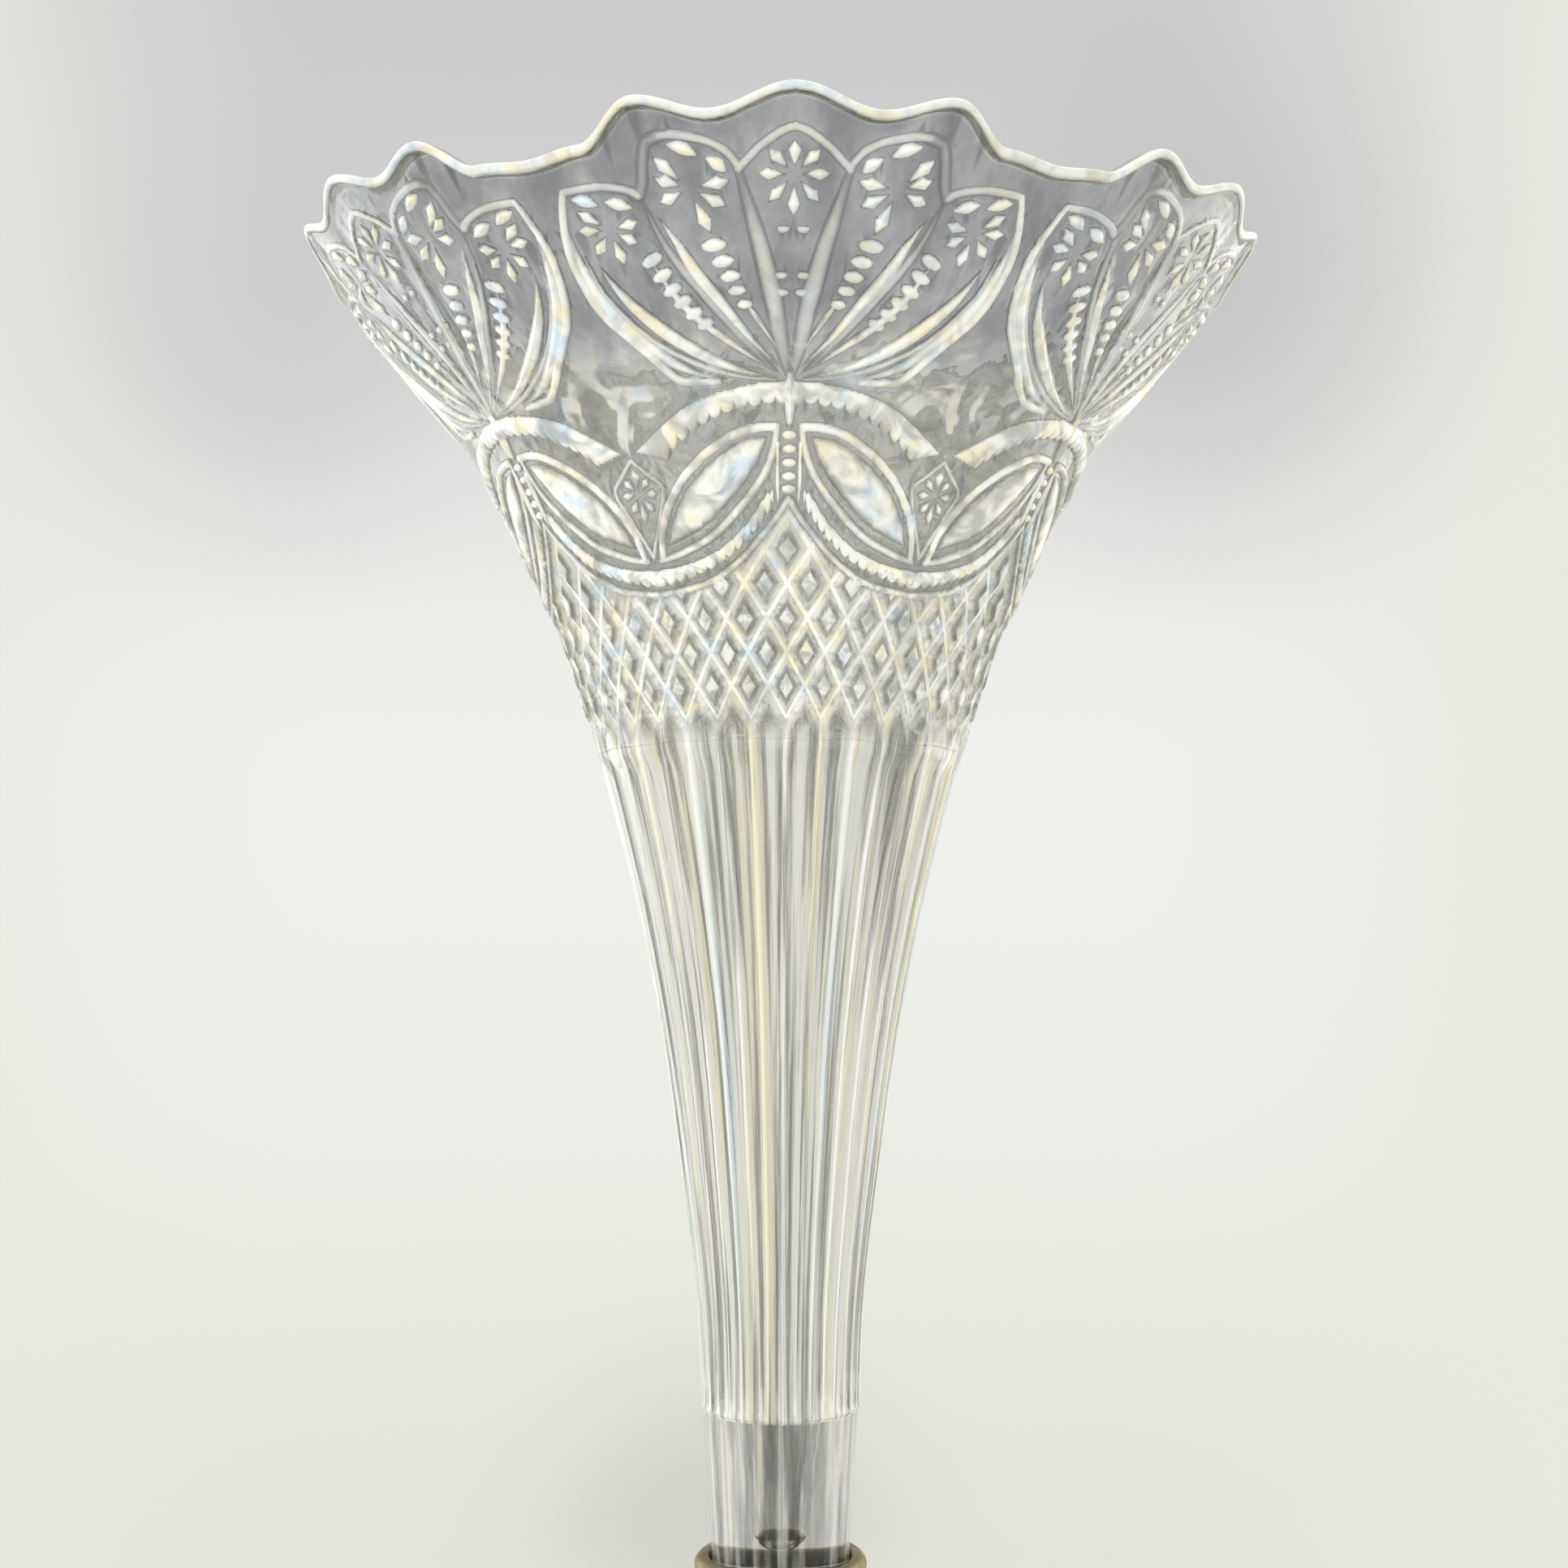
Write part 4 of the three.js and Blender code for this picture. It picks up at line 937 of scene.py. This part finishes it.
def make_stem():
    """The baluster: a bead at its foot, a neck that narrows and flares on smooth curves, a fillet on top."""
    bottom, top, foot_radius = node_span("stem")
    length = top - bottom
    seat = foot_radius - STEM_BEAD_RADIUS
    bead = arc((seat, bottom + STEM_BEAD_RADIUS), STEM_BEAD_RADIUS, -BEAD_SWEEP, BEAD_SWEEP, 16)
    over_bead = 2 * STEM_BEAD_RADIUS + STEM_BEAD_FILLET
    share = np.linspace(0, 1, 24)
    low = STEM_NECK_RADIUS + (seat - STEM_STEP - STEM_NECK_RADIUS) * (1 - share) ** 2
    heights = bottom + over_bead + share * (STEM_NECK_SHARE * length - over_bead)
    high_share = np.linspace(0, 1, 14)[1:]
    high = STEM_NECK_RADIUS + (STEM_TOP_RADIUS - STEM_STEP - STEM_NECK_RADIUS) * high_share ** 2
    high_heights = bottom + (STEM_NECK_SHARE + STEM_FLARE_SHARE * high_share) * length
    outline = [(ROD_BORE, bottom), (seat, bottom), *bead, (seat, heights[0]), *zip(low, heights)]
    outline += [*zip(high, high_heights), (STEM_TOP_RADIUS, bottom + STEM_FILLET_SHARE * length)]
    outline += [(STEM_TOP_RADIUS, top), (ROD_BORE, top)]
    return turned("baluster_stem", outline, "stem", soft=0.15)


def make_dome():
    """The spun base: a rim, a step, a dished sweep with two pairs of turned lines, and a thin wall."""
    bottom, top, radius = node_span("foot_dome")
    edge_top = bottom + BASE_EDGE_HEIGHT
    step_radius = radius - BASE_STEP_WIDTH
    step_top = edge_top + BASE_STEP_HEIGHT
    share = np.linspace(0, 1, 90)
    sweep_radius = step_radius + (DOME_TOP_RADIUS - step_radius) * share
    sweep_height = step_top + (top - step_top) * share ** DOME_SWEEP
    along = unit(np.stack([np.gradient(sweep_radius), np.gradient(sweep_height)], axis=1))
    lines = turned_lines(share, DOME_LINES, DOME_LINE_DEPTH, DOME_LINE_WIDTH)

    def sunk(depth):
        return np.stack([sweep_radius - depth * along[:, 1], sweep_height + depth * along[:, 0]], axis=1)

    # The inside of the wall follows every third point of the sweep, clear of its two ends
    inner_sweep = sunk(DOME_WALL)[4:-4:3][::-1]
    inner = radius - DOME_WALL
    step_inner = step_radius - DOME_WALL
    edge = arc((radius - BASE_EDGE_ROUND, edge_top - BASE_EDGE_ROUND), BASE_EDGE_ROUND, 0, 90, 8)
    outline = [(inner, bottom), (radius, bottom), *edge, (step_radius, edge_top), *sunk(lines)]
    outline += [(ROD_BORE, top), (ROD_BORE, top - DOME_WALL), (DOME_TOP_RADIUS - DOME_WALL, top - DOME_WALL)]
    outline += [*inner_sweep, (step_inner, step_top - DOME_WALL), (step_inner, edge_top - DOME_WALL)]
    outline += [(inner, edge_top - DOME_WALL)]
    return turned("spun_dome", outline, "foot_dome", soft=0.12)


class Number:
    """A value in a material's node tree. Arithmetic on it adds math nodes."""

    def __init__(self, finish, socket):
        self.finish = finish
        self.socket = socket

    def math(self, operation, *others):
        return self.finish.node("ShaderNodeMath", {"operation": operation}, dict(enumerate((self, *others))))

    def __add__(self, other):
        return self.math("ADD", other)

    def __sub__(self, other):
        return self.math("SUBTRACT", other)

    def __mul__(self, other):
        return self.math("MULTIPLY", other)

    def __rsub__(self, other):
        return self.finish.node("ShaderNodeMath", {"operation": "SUBTRACT"}, {0: other, 1: self})

    __radd__ = __add__
    __rmul__ = __mul__

    def between(self, low, high):
        """Rises smoothly from 0 at low to 1 at high."""
        values = {"Value": self, "From Min": low, "From Max": high}
        return self.finish.node("ShaderNodeMapRange", {"interpolation_type": "SMOOTHSTEP"}, values)

    def off_whole(self):
        """How far it lies from the nearest whole number."""
        return (self - self.math("ROUND")).math("ABSOLUTE")


class Finish:
    """The node tree of a material or of the world, and the few ways in which its nodes are made."""

    def __init__(self, name, tree=None):
        if tree is None:
            self.material = bpy.data.materials.new(name)
            self.material.use_nodes = True
            tree = self.material.node_tree
            self.shader = tree.nodes["Principled BSDF"]
        self.tree = tree

    def node(self, kind, settings=None, values=None, output=0):
        """Adds a node: its settings first, then the values or links of its sockets. Gives one output."""
        made = self.tree.nodes.new(kind)
        for name, setting in (settings or {}).items():
            setattr(made, name, setting)
        for name, value in (values or {}).items():
            self.feed(made.inputs[name], value)
        return Number(self, made.outputs[output])

    def feed(self, socket, value):
        """Links a value of the tree to a socket, or sets a plain number, vector or colour on it."""
        if isinstance(value, Number):
            self.tree.links.new(value.socket, socket)
        elif socket.type == "RGBA":
            socket.default_value = (*value, 1)
        else:
            socket.default_value = value

    def set(self, **values):
        """Sets the shader's sockets; an underscore in a name stands for a space."""
        for name, value in values.items():
            self.feed(self.shader.inputs[name.replace("_", " ")], value)

    def place(self, stretch=(1, 1, 1)):
        """Object coordinates in millimetres, stretched along the axes."""
        here = self.node("ShaderNodeTexCoord", output="Object")
        return self.node("ShaderNodeMapping", {}, {"Vector": here, "Scale": tuple(s / MM for s in stretch)})

    def split(self, vector):
        made = self.node("ShaderNodeSeparateXYZ", {}, {0: vector}).socket.node
        return [Number(self, socket) for socket in made.outputs]

    def joined(self, x, y, z=0.0):
        return self.node("ShaderNodeCombineXYZ", {}, {0: x, 1: y, 2: z})

    def noise(self, vector, scale, detail=3, roughness=0.5, distortion=0):
        values = {"Vector": vector, "Scale": scale, "Detail": detail}
        values |= {"Roughness": roughness, "Distortion": distortion}
        return self.node("ShaderNodeTexNoise", {}, values)

    def mix(self, share, first, second):
        """A colour between two."""
        return self.node("ShaderNodeMix", {"data_type": "RGBA"}, {0: share, 6: first, 7: second}, output=2)

    def bump(self, height, distance, strength=1.0, under=None):
        """A relief whose full height is the distance in millimetres, on top of another one if given."""
        values = {"Height": height, "Distance": distance * MM, "Strength": strength}
        if under is not None:
            values["Normal"] = under
        return self.node("ShaderNodeBump", {}, values)

    def cover(self, share, shader):
        """Puts another shader over the material's own one, by a share."""
        values = {0: share, 1: Number(self, self.shader.outputs[0]), 2: shader}
        surface = self.tree.nodes["Material Output"].inputs["Surface"]
        self.feed(surface, self.node("ShaderNodeMixShader", {}, values))


def hypot(x, y):
    """The long side of a right-angled triangle, from its two short ones."""
    return (x * x + y * y).math("SQRT")


# The glass's finish: where one zone passes into the next, as heights on the glass
UPPER_ZONE = (121, 125.5)
FOOT_SHADE_LINE_ZONE = (141, 145)
NET_END = (143, 147)
LOW_ZONE_END = (164, 178)
OVER_ARCH_ZONE = (168, 169.5)
OVER_ARCH_FALL = 34
SEAM_ZONE = (20, 34)
SEAMS = 3
JOINT_HEIGHT = 119.9
# Share of the painted highlight on the ornament's crests
FACET_HIGHLIGHT_SHARE = 0.86


def above(z, zone):
    """0 under a zone of the glass, 1 over it."""
    return z.between(COLLAR_TOP + zone[0], COLLAR_TOP + zone[1])


def glass_zones(glass, place, z, turn):
    """Shares that tell where a point of the glass lies, and noises that run up the wall or over it."""
    pressed = glass.node("ShaderNodeAttribute", {"attribute_name": PRESSED}, output="Fac")
    upper = above(z, UPPER_ZONE)
    peg = 1 - above(z, (SHOULDER_HEIGHT - 0.5, SHOULDER_HEIGHT))
    off_ridge = (turn * (180 / math.pi / FLUTE_PITCH)).off_whole()
    off_fan = (turn * (SECTORS / (2 * math.pi))).off_whole()
    along = glass.joined(turn * 16, z * 0.012)
    raised = pressed.between(0.07, 0.22)
    return SimpleNamespace(
        upper=upper,
        peg=peg,
        ridge=(1 - off_ridge.between(0.03, 0.14)) * (1 - upper) * (1 - peg),
        reflection_stripes=glass.noise(along, 1.0, detail=4, roughness=0.65).between(0.36, 0.54),
        # Streaks up the peg: a fine relief, and its painted reflections
        streaks=glass.noise(glass.place((1, 1, 0.03)), 0.6, detail=3, roughness=0.55),
        raised=raised,
        crest=pressed.between(0.12, 0.42),
        foot_shade_line=pressed.between(0.005, 0.04) * (1 - raised) * above(z, FOOT_SHADE_LINE_ZONE),
        field=(1 - pressed.between(-0.5, -0.02)) * upper,
        groove=(1 - pressed.between(-0.76, -0.66)) * upper,
        net=upper * (1 - above(z, NET_END)),
        low=1 - above(z, LOW_ZONE_END),
        over_arch=above(z + off_fan * off_fan * OVER_ARCH_FALL, OVER_ARCH_ZONE),
        reflection_tints=glass.noise(place, 0.2, detail=3, roughness=0.6) * upper
        + glass.noise(along, 0.35, detail=3, roughness=0.6) * (1 - upper),
    )


def glass_surface(glass, zones, place, z, turn):
    """The glass's fine relief: soft waves and grain above the flutes, mould seams, and streaks on the peg."""
    waves = glass.noise(place, 0.09, detail=2)
    grain = glass.noise(place, 0.7, detail=2)
    rough = glass.noise(glass.place((1, 1, 0.35)), 1.4, detail=3, roughness=0.7)
    off_seam = (turn * (SEAMS / (2 * math.pi))).off_whole()
    seam_height = above(z, SEAM_ZONE) * (1 - zones.upper * 0.5)
    seam = (1 - off_seam.between(0.0008, 0.006)) * (0.2 + rough) * seam_height
    off_joint = z - glass.noise(place, 0.05, detail=2) * 3.0 - (COLLAR_TOP + JOINT_HEIGHT)
    joint = 1 - off_joint.math("ABSOLUTE").between(0.05, 0.3)
    surface = glass.bump(waves * (0.25 + zones.upper), 0.45, 0.7)
    surface = glass.bump(grain * (0.1 + zones.upper), 0.012, 0.6, under=surface)
    surface = glass.bump(seam, 0.3, 0.7, under=surface)
    surface = glass.bump(joint, 0.12, 0.7, under=surface)
    return glass.bump(zones.streaks * zones.peg, 0.1, 0.6, under=surface)


def wall_colour_with_painted_light(glass, zones, dust):
    """The smooth wall with painted shade and reflections: grey shade above the flutes, paler in the diamonds,
    reflection stripes below, reflection streaks on the peg.
    """
    # Painted shade: soft grey clouds over the wall above the flutes
    clouds = glass.noise(glass.place((1, 1, 0.35)), 0.14, detail=4, roughness=0.6).between(0.36, 0.62)
    shaded = glass.mix(clouds, (0.36, 0.37, 0.38), (0.60, 0.61, 0.61))
    shaded = glass.mix(zones.low * 0.45, shaded, (0.88, 0.89, 0.85))
    shaded = glass.mix(zones.field, shaded, (0.96, 0.95, 0.87))
    # Painted reflection: the flutes' pale and grey stripes
    reflection_striped = glass.mix(zones.reflection_stripes, (0.50, 0.51, 0.50), (1.0, 0.99, 0.94))
    # Painted reflection on the peg: dark and pale streaks in its colour
    streaked_reflection = glass.mix(zones.streaks.between(0.38, 0.62), (0.36, 0.36, 0.37), (0.84, 0.83, 0.81))
    below = glass.mix(zones.peg, reflection_striped, streaked_reflection)
    plain = glass.mix(zones.upper, below, shaded)
    plain = glass.mix(dust * 0.3, plain, (0.78, 0.78, 0.75))
    # Painted shade: a dark line along the feet of the raised faces
    return glass.mix(zones.foot_shade_line * 0.85, plain, (0.16, 0.17, 0.17))


def facet_highlight_colour(glass, zones, place):
    """The painted highlight's colour: white with pale blue and yellow painted reflections, painted refraction
    folds above the flutes, painted dark sparkle in the diamonds, and painted reflection stripes below.
    """
    # Painted reflections: pale blue and yellow patches on the highlight
    facet = glass.mix(zones.reflection_tints.between(0.34, 0.46), (0.74, 0.86, 0.95), (0.98, 0.98, 0.92))
    facet = glass.mix(zones.reflection_tints.between(0.50, 0.62), facet, (0.98, 0.92, 0.68))
    # Painted refraction: dark folds over the highlight above the flutes
    refraction_folds = 1 - glass.noise(place, 0.14, detail=2, roughness=0.45, distortion=2.0).between(0.32, 0.58)
    refraction_fold_share = refraction_folds * (0.35 + zones.low * 0.35) * (1 - zones.field * 0.5) * zones.upper
    facet = glass.mix(refraction_fold_share, facet, (0.34, 0.35, 0.33))
    # Painted dark sparkle: reflections that speckle the diamond field's highlight
    dark_sparkle = 1 - glass.noise(place, 0.8, detail=3, roughness=0.6).between(0.40, 0.52)
    facet = glass.mix(dark_sparkle * zones.net * (0.55 - zones.groove * 0.5), facet, (0.36, 0.37, 0.35))
    # Painted dark reflection stripes on the flutes' highlight
    dark_reflection_stripes = (1 - zones.reflection_stripes) * (1 - zones.upper)
    return glass.mix(dark_reflection_stripes, facet, (0.30, 0.30, 0.29))


def facet_highlight_share(glass, zones, place):
    """How much the painted highlight shows: most on the ornament's crests, less on flutes, field and peg."""
    # Painted highlight on the flutes: along their ridges and pale stripes
    below = 0.12 + zones.reflection_stripes * 0.36 + zones.ridge * 0.35
    # Painted highlight along the peg's pale streaks
    peg_highlight = zones.streaks.between(0.42, 0.66) * zones.peg * 0.3
    level = below * (1 - zones.upper) * (1 - zones.peg) + peg_highlight + zones.field * 0.6 + zones.groove * 0.38
    # Painted reflection: bright patches just above the arch under the fan
    reflection_patches = glass.noise(place, 0.11, detail=2, roughness=0.5, distortion=1.5).between(0.50, 0.57)
    reflection_patches = reflection_patches * zones.over_arch * 0.5
    level = level + zones.low * zones.upper * (1 - zones.field) * (0.1 + reflection_patches)
    strength = 0.25 + zones.crest * 0.75 + zones.net * 0.35
    return zones.raised * strength * FACET_HIGHLIGHT_SHARE + level * (1 - zones.raised)


def glass_finish():
    """Clear moulded glass. A painted highlight makes its raised faces brighter than the wall, and painted
    shade draws a dark line at their feet.
    """
    glass = Finish("clear_glass")
    place = glass.place()
    x, y, z = glass.split(place)
    turn = x.math("ARCTAN2", 0 - y)
    zones = glass_zones(glass, place, z, turn)
    surface = glass_surface(glass, zones, place, z, turn)
    dust = glass.noise(place, 0.25, detail=5, roughness=0.65).between(0.45, 0.8)
    glass.set(
        # The wall's colour carries painted shade and reflections; the raised faces keep a nearly clear tint
        Base_Color=glass.mix(zones.raised, wall_colour_with_painted_light(glass, zones, dust), (0.93, 0.94, 0.92)),
        Roughness=0.012 + dust * 0.03 + zones.peg * 0.05,
        Normal=surface,
        Transmission_Weight=1.0,
        IOR=1.52,
    )
    # Painted highlight: a second, bright shader laid over the glass where its relief is raised
    highlight_facets = {"Base Color": facet_highlight_colour(glass, zones, place), "Roughness": 0.1, "Normal": surface}
    glass.cover(facet_highlight_share(glass, zones, place), glass.node("ShaderNodeBsdfPrincipled", {}, highlight_facets))
    return glass.material


def brass_finish():
    """Old brass: olive-brown patina, brighter where hands and cloth reach, fine turning marks and pits."""
    brass = Finish("patinated_brass")
    place = brass.place()
    x, y, z = brass.split(place)
    turning = brass.noise(brass.joined(hypot(x, y), z), 4.5, detail=3, roughness=0.7)
    clouds = brass.noise(place, 0.16, detail=4, roughness=0.5)
    specks = brass.noise(place, 1.6, detail=4, roughness=0.7)
    worn = (clouds * 0.5 + specks * 0.5).between(0.24, 0.80)
    spots = specks.between(0.62, 0.74)
    patina = brass.mix(clouds.between(0.35, 0.65), (0.15, 0.13, 0.06), (0.21, 0.185, 0.095))
    metal = brass.mix(turning, (0.31, 0.265, 0.135), (0.43, 0.37, 0.20))
    surface = brass.bump(turning, 0.05, 0.5)
    surface = brass.bump(spots, 0.06, 0.6, under=surface)
    surface = brass.bump(clouds, 0.25, 0.4, under=surface)
    brass.set(
        Base_Color=brass.mix(spots, brass.mix(worn, patina, metal), (0.05, 0.06, 0.035)),
        Roughness=0.52 - worn * 0.22 + spots * 0.25 + turning * 0.08,
        Metallic=0.98 - spots * 0.5,
        Normal=surface,
    )
    return brass.material


def iron_finish():
    """Cast iron under the foot: sand-cast grain with thin rust."""
    iron = Finish("iron")
    place = iron.place()
    grain = iron.noise(place, 1.0, detail=6, roughness=0.7)
    rust = iron.noise(place, 0.12, detail=4).between(0.5, 0.68)
    iron.set(
        Base_Color=iron.mix(rust, (0.06, 0.058, 0.055), (0.16, 0.075, 0.035)),
        Roughness=0.7 + rust * 0.2,
        Metallic=0.85 - rust * 0.7,
        Normal=iron.bump(grain, 0.4, 0.7),
    )
    return iron.material


def steel_finish():
    """Plain turned steel: fine rings and a grey that dulls in patches."""
    steel = Finish("steel")
    place = steel.place()
    x, y, z = steel.split(place)
    rings = steel.noise(steel.joined(hypot(x, y), z), 7)
    dull = steel.noise(place, 0.4, detail=4).between(0.4, 0.7)
    steel.set(
        Base_Color=steel.mix(dull, (0.5, 0.5, 0.49), (0.27, 0.26, 0.24)),
        Roughness=0.28 + dull * 0.25 + rings * 0.1,
        Metallic=1.0,
        Normal=steel.bump(rings, 0.03, 0.5),
    )
    return steel.material


def cork_finish():
    """Cut cork: warm brown cells with dark pores."""
    cork = Finish("cork")
    place = cork.place()
    cells = cork.node("ShaderNodeTexVoronoi", {"feature": "F1"}, {"Vector": place, "Scale": 1.6})
    pores = 1 - cork.noise(place, 0.8, detail=3).between(0.28, 0.4)
    tone = cork.mix(cells.between(0.1, 0.7), (0.42, 0.26, 0.13), (0.3, 0.17, 0.08))
    cork.set(
        Base_Color=cork.mix(pores, tone, (0.09, 0.045, 0.02)),
        Roughness=0.85 + pores * 0.1,
        Normal=cork.bump(cells - pores, 0.2, 0.8),
    )
    return cork.material


def felt_finish():
    """Pressed wool felt: matted fibres that lie every way, with painted shade darkening the hollows of their
    relief.
    """
    felt = Finish("felt")
    place = felt.place()
    fibres = felt.noise(place, 2.6, detail=6, roughness=0.75, distortion=1.5)
    matted = felt.noise(place, 0.5, detail=3)
    felt.set(
        # Painted shade: the colour darkens where the fibres' relief is low
        Base_Color=felt.mix(fibres * 0.7 + matted * 0.3, (0.008, 0.028, 0.014), (0.035, 0.09, 0.045)),
        Roughness=0.9 + matted * 0.08,
        Normal=felt.bump(fibres, 0.25, 0.9),
        Sheen_Weight=0.5,
        Sheen_Roughness=0.5,
    )
    return felt.material


def dress(piece, material):
    """Gives a piece one material in place of those it has."""
    piece.data.materials.clear()
    piece.data.materials.append(material)


# Soft shades on the surround behind the vase: side, height, reach and strength of each
HIGH_SHADES = ((0.215, 0.27, 0.15, 0.42), (-0.2, 0.25, 0.13, 0.28))
LOW_SHADES = ((0.0, -0.28, 0.13, 0.45),)
EVEN_LIGHT = (0.90, 0.90, 0.88)

# Floor, lamps and camera. A lamp has its name, place, width and height, power and colour
FLOOR_RADII = (900, 480, 240, 120, 60, 0)
FLOOR_DEPTH = 0.4
FLOOR_SEGMENTS = 96
FLOOR_FADE = (150, 330)
FLOOR_COLOUR = (0.56, 0.56, 0.53)
LIGHT_PATH_LENGTH = 24
LAMP_AIM_HEIGHT = 100
SOFTBOXES = (
    ("left_softbox", (-680, 430, 330), (700, 800), 2.6, (0.93, 0.97, 1.0)),
    ("right_softbox", (700, 380, 330), (650, 800), 2.4, (1.0, 0.98, 0.90)),
    ("top_softbox", (0, -60, 950), (700, 600), 2.6, (1.0, 0.99, 0.94)),
    ("front_softbox", (-360, -700, 250), (500, 500), 1.9, (1.0, 1.0, 0.98)),
)
# The photograph's view: 336 mm from the axis, 95 mm above the collar, tilted 3.7 degrees up
CAMERA_PLACE = (-8.8, -336.1, 173.1)
CAMERA_TARGET = (0.53, 0, 194.84)
CAMERA_LENS = 49.86
SENSOR_WIDTH = 36


def soft_shades(x, behind, z, shades):
    """Soft round shades: each at its full strength in its middle and gone past its reach."""
    total = 0
    for side, height, reach, strength in shades:
        away = hypot(x - side, z - height)
        total = total + (1 - away.between(0, reach)) * behind * strength
    return total


def surround_tone(air, x, y, z):
    """The pale backdrop: darker behind the vase's head, with soft shades, and white overhead."""
    behind = y.between(0, 0.3)
    tone = air.mix(z.between(-0.3, 0.05), (0.77, 0.78, 0.69), (0.87, 0.87, 0.84))
    tone = air.mix(z.between(0.06, 0.40), tone, (0.60, 0.60, 0.61))
    tone = air.mix(x.math("ABSOLUTE").between(0.17, 0.38) * behind, tone, (0.80, 0.81, 0.74))
    tone = air.mix(soft_shades(x, behind, z, HIGH_SHADES), tone, (0.40, 0.40, 0.42))
    tone = air.mix(soft_shades(x, behind, z, LOW_SHADES), tone, (0.42, 0.42, 0.42))
    return air.mix(z.between(0.48, 0.75), tone, (1.0, 1.0, 0.97))


def room_tone(air, around, z):
    """The upright dark and light bands of a room."""
    bands = air.noise(air.joined(around, z * 0.15), 5.5, detail=2)
    room = air.mix(bands.between(0.30, 0.38), (0.08, 0.08, 0.09), (0.66, 0.68, 0.70))
    return air.mix(bands.between(0.42, 0.52), room, (1.0, 0.98, 0.90))


def make_surround():
    """A pale surround that camera, reflections and glass see, and an even light for everything else.

    To both sides and behind the camera, glass and metal also find the light and dark bands of a room.
    """
    world = bpy.data.worlds.new("surround")
    bpy.context.scene.world = world
    world.use_nodes = True
    air = Finish("surround", world.node_tree)
    x, y, z = air.split(air.node("ShaderNodeTexCoord", output="Generated"))
    around = x.math("ARCTAN2", y)
    camera = air.node("ShaderNodeLightPath", output="Is Camera Ray")
    glossy = air.node("ShaderNodeLightPath", output="Is Glossy Ray")
    through = air.node("ShaderNodeLightPath", output="Is Transmission Ray")
    aside = around.math("ABSOLUTE").between(0.40, 0.52) * (1 - camera)
    tone = air.mix(aside, surround_tone(air, x, y, z), room_tone(air, around, z))
    seen = (camera + glossy + through).math("MINIMUM", 1.0)
    background = air.tree.nodes["Background"]
    air.feed(background.inputs["Color"], air.mix(seen, EVEN_LIGHT, tone))
    background.inputs["Strength"].default_value = 1.0


def make_floor():
    """A pale round floor just under the felt, which fades into the surround at its edge."""
    outline = np.array([(radius, -FLOOR_DEPTH) for radius in FLOOR_RADII]) * MM
    mesh = bpy.data.meshes.new("floor")
    faces = revolved_faces(len(outline), FLOOR_SEGMENTS, closed=False)
    mesh.from_pydata(revolved(outline, FLOOR_SEGMENTS).tolist(), [], faces.tolist())
    floor = placed("floor", mesh)
    paint = Finish("floor")
    x, y, _ = paint.split(paint.place())
    fade = hypot(x, y).between(*FLOOR_FADE)
    underside = paint.node("ShaderNodeNewGeometry", output="Backfacing")
    paint.set(Base_Color=FLOOR_COLOUR, Roughness=0.85, Specular_IOR_Level=0.2)
    paint.cover((fade + underside).math("MINIMUM", 1.0), paint.node("ShaderNodeBsdfTransparent"))
    dress(floor, paint.material)


def aim_at(thing, target):
    """Turns a lamp or camera to look at a point given in millimetres."""
    direction = Vector(target) * MM - thing.location
    thing.rotation_euler = direction.to_track_quat("-Z", "Y").to_euler()


def make_softbox(name, place, size, power, tone):
    """A flat lamp aimed at the middle of the glass: it lights and glints, but is never seen itself."""
    data = bpy.data.lights.new(name, "AREA")
    data.shape = "RECTANGLE"
    data.size, data.size_y = (side * MM for side in size)
    data.energy = power
    data.color = tone
    lamp = placed(name, data)
    lamp.location = Vector(place) * MM
    aim_at(lamp, (0, 0, COLLAR_TOP + LAMP_AIM_HEIGHT))
    lamp.visible_camera = False
    lamp.visible_transmission = False


def make_camera():
    data = bpy.data.cameras.new("camera")
    data.lens = CAMERA_LENS
    data.sensor_width = SENSOR_WIDTH
    camera = placed("camera", data)
    camera.location = Vector(CAMERA_PLACE) * MM
    aim_at(camera, CAMERA_TARGET)
    bpy.context.scene.camera = camera


glass = make_glass()
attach(glass, "glass")
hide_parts("glass_cornet")
dress(glass, glass_finish())

brass = brass_finish()
for piece in (make_collar(), make_cup(), make_knop(), make_stem(), make_dome()):
    dress(piece, brass)
dress(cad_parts["base_weight"], iron_finish())
dress(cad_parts["seat_cork"], cork_finish())
dress(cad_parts["felt_pad"], felt_finish())
steel = steel_finish()
for node in ("cup_nut", "tie_rod", "lower_washer", "lower_nut"):
    dress(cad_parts[node], steel)

make_surround()
make_floor()
for softbox in SOFTBOXES:
    make_softbox(*softbox)
make_camera()
bpy.context.scene.view_settings.view_transform = "Standard"
bpy.context.scene.cycles.max_bounces = LIGHT_PATH_LENGTH
bpy.context.scene.cycles.glossy_bounces = LIGHT_PATH_LENGTH
bpy.context.scene.cycles.transmission_bounces = LIGHT_PATH_LENGTH
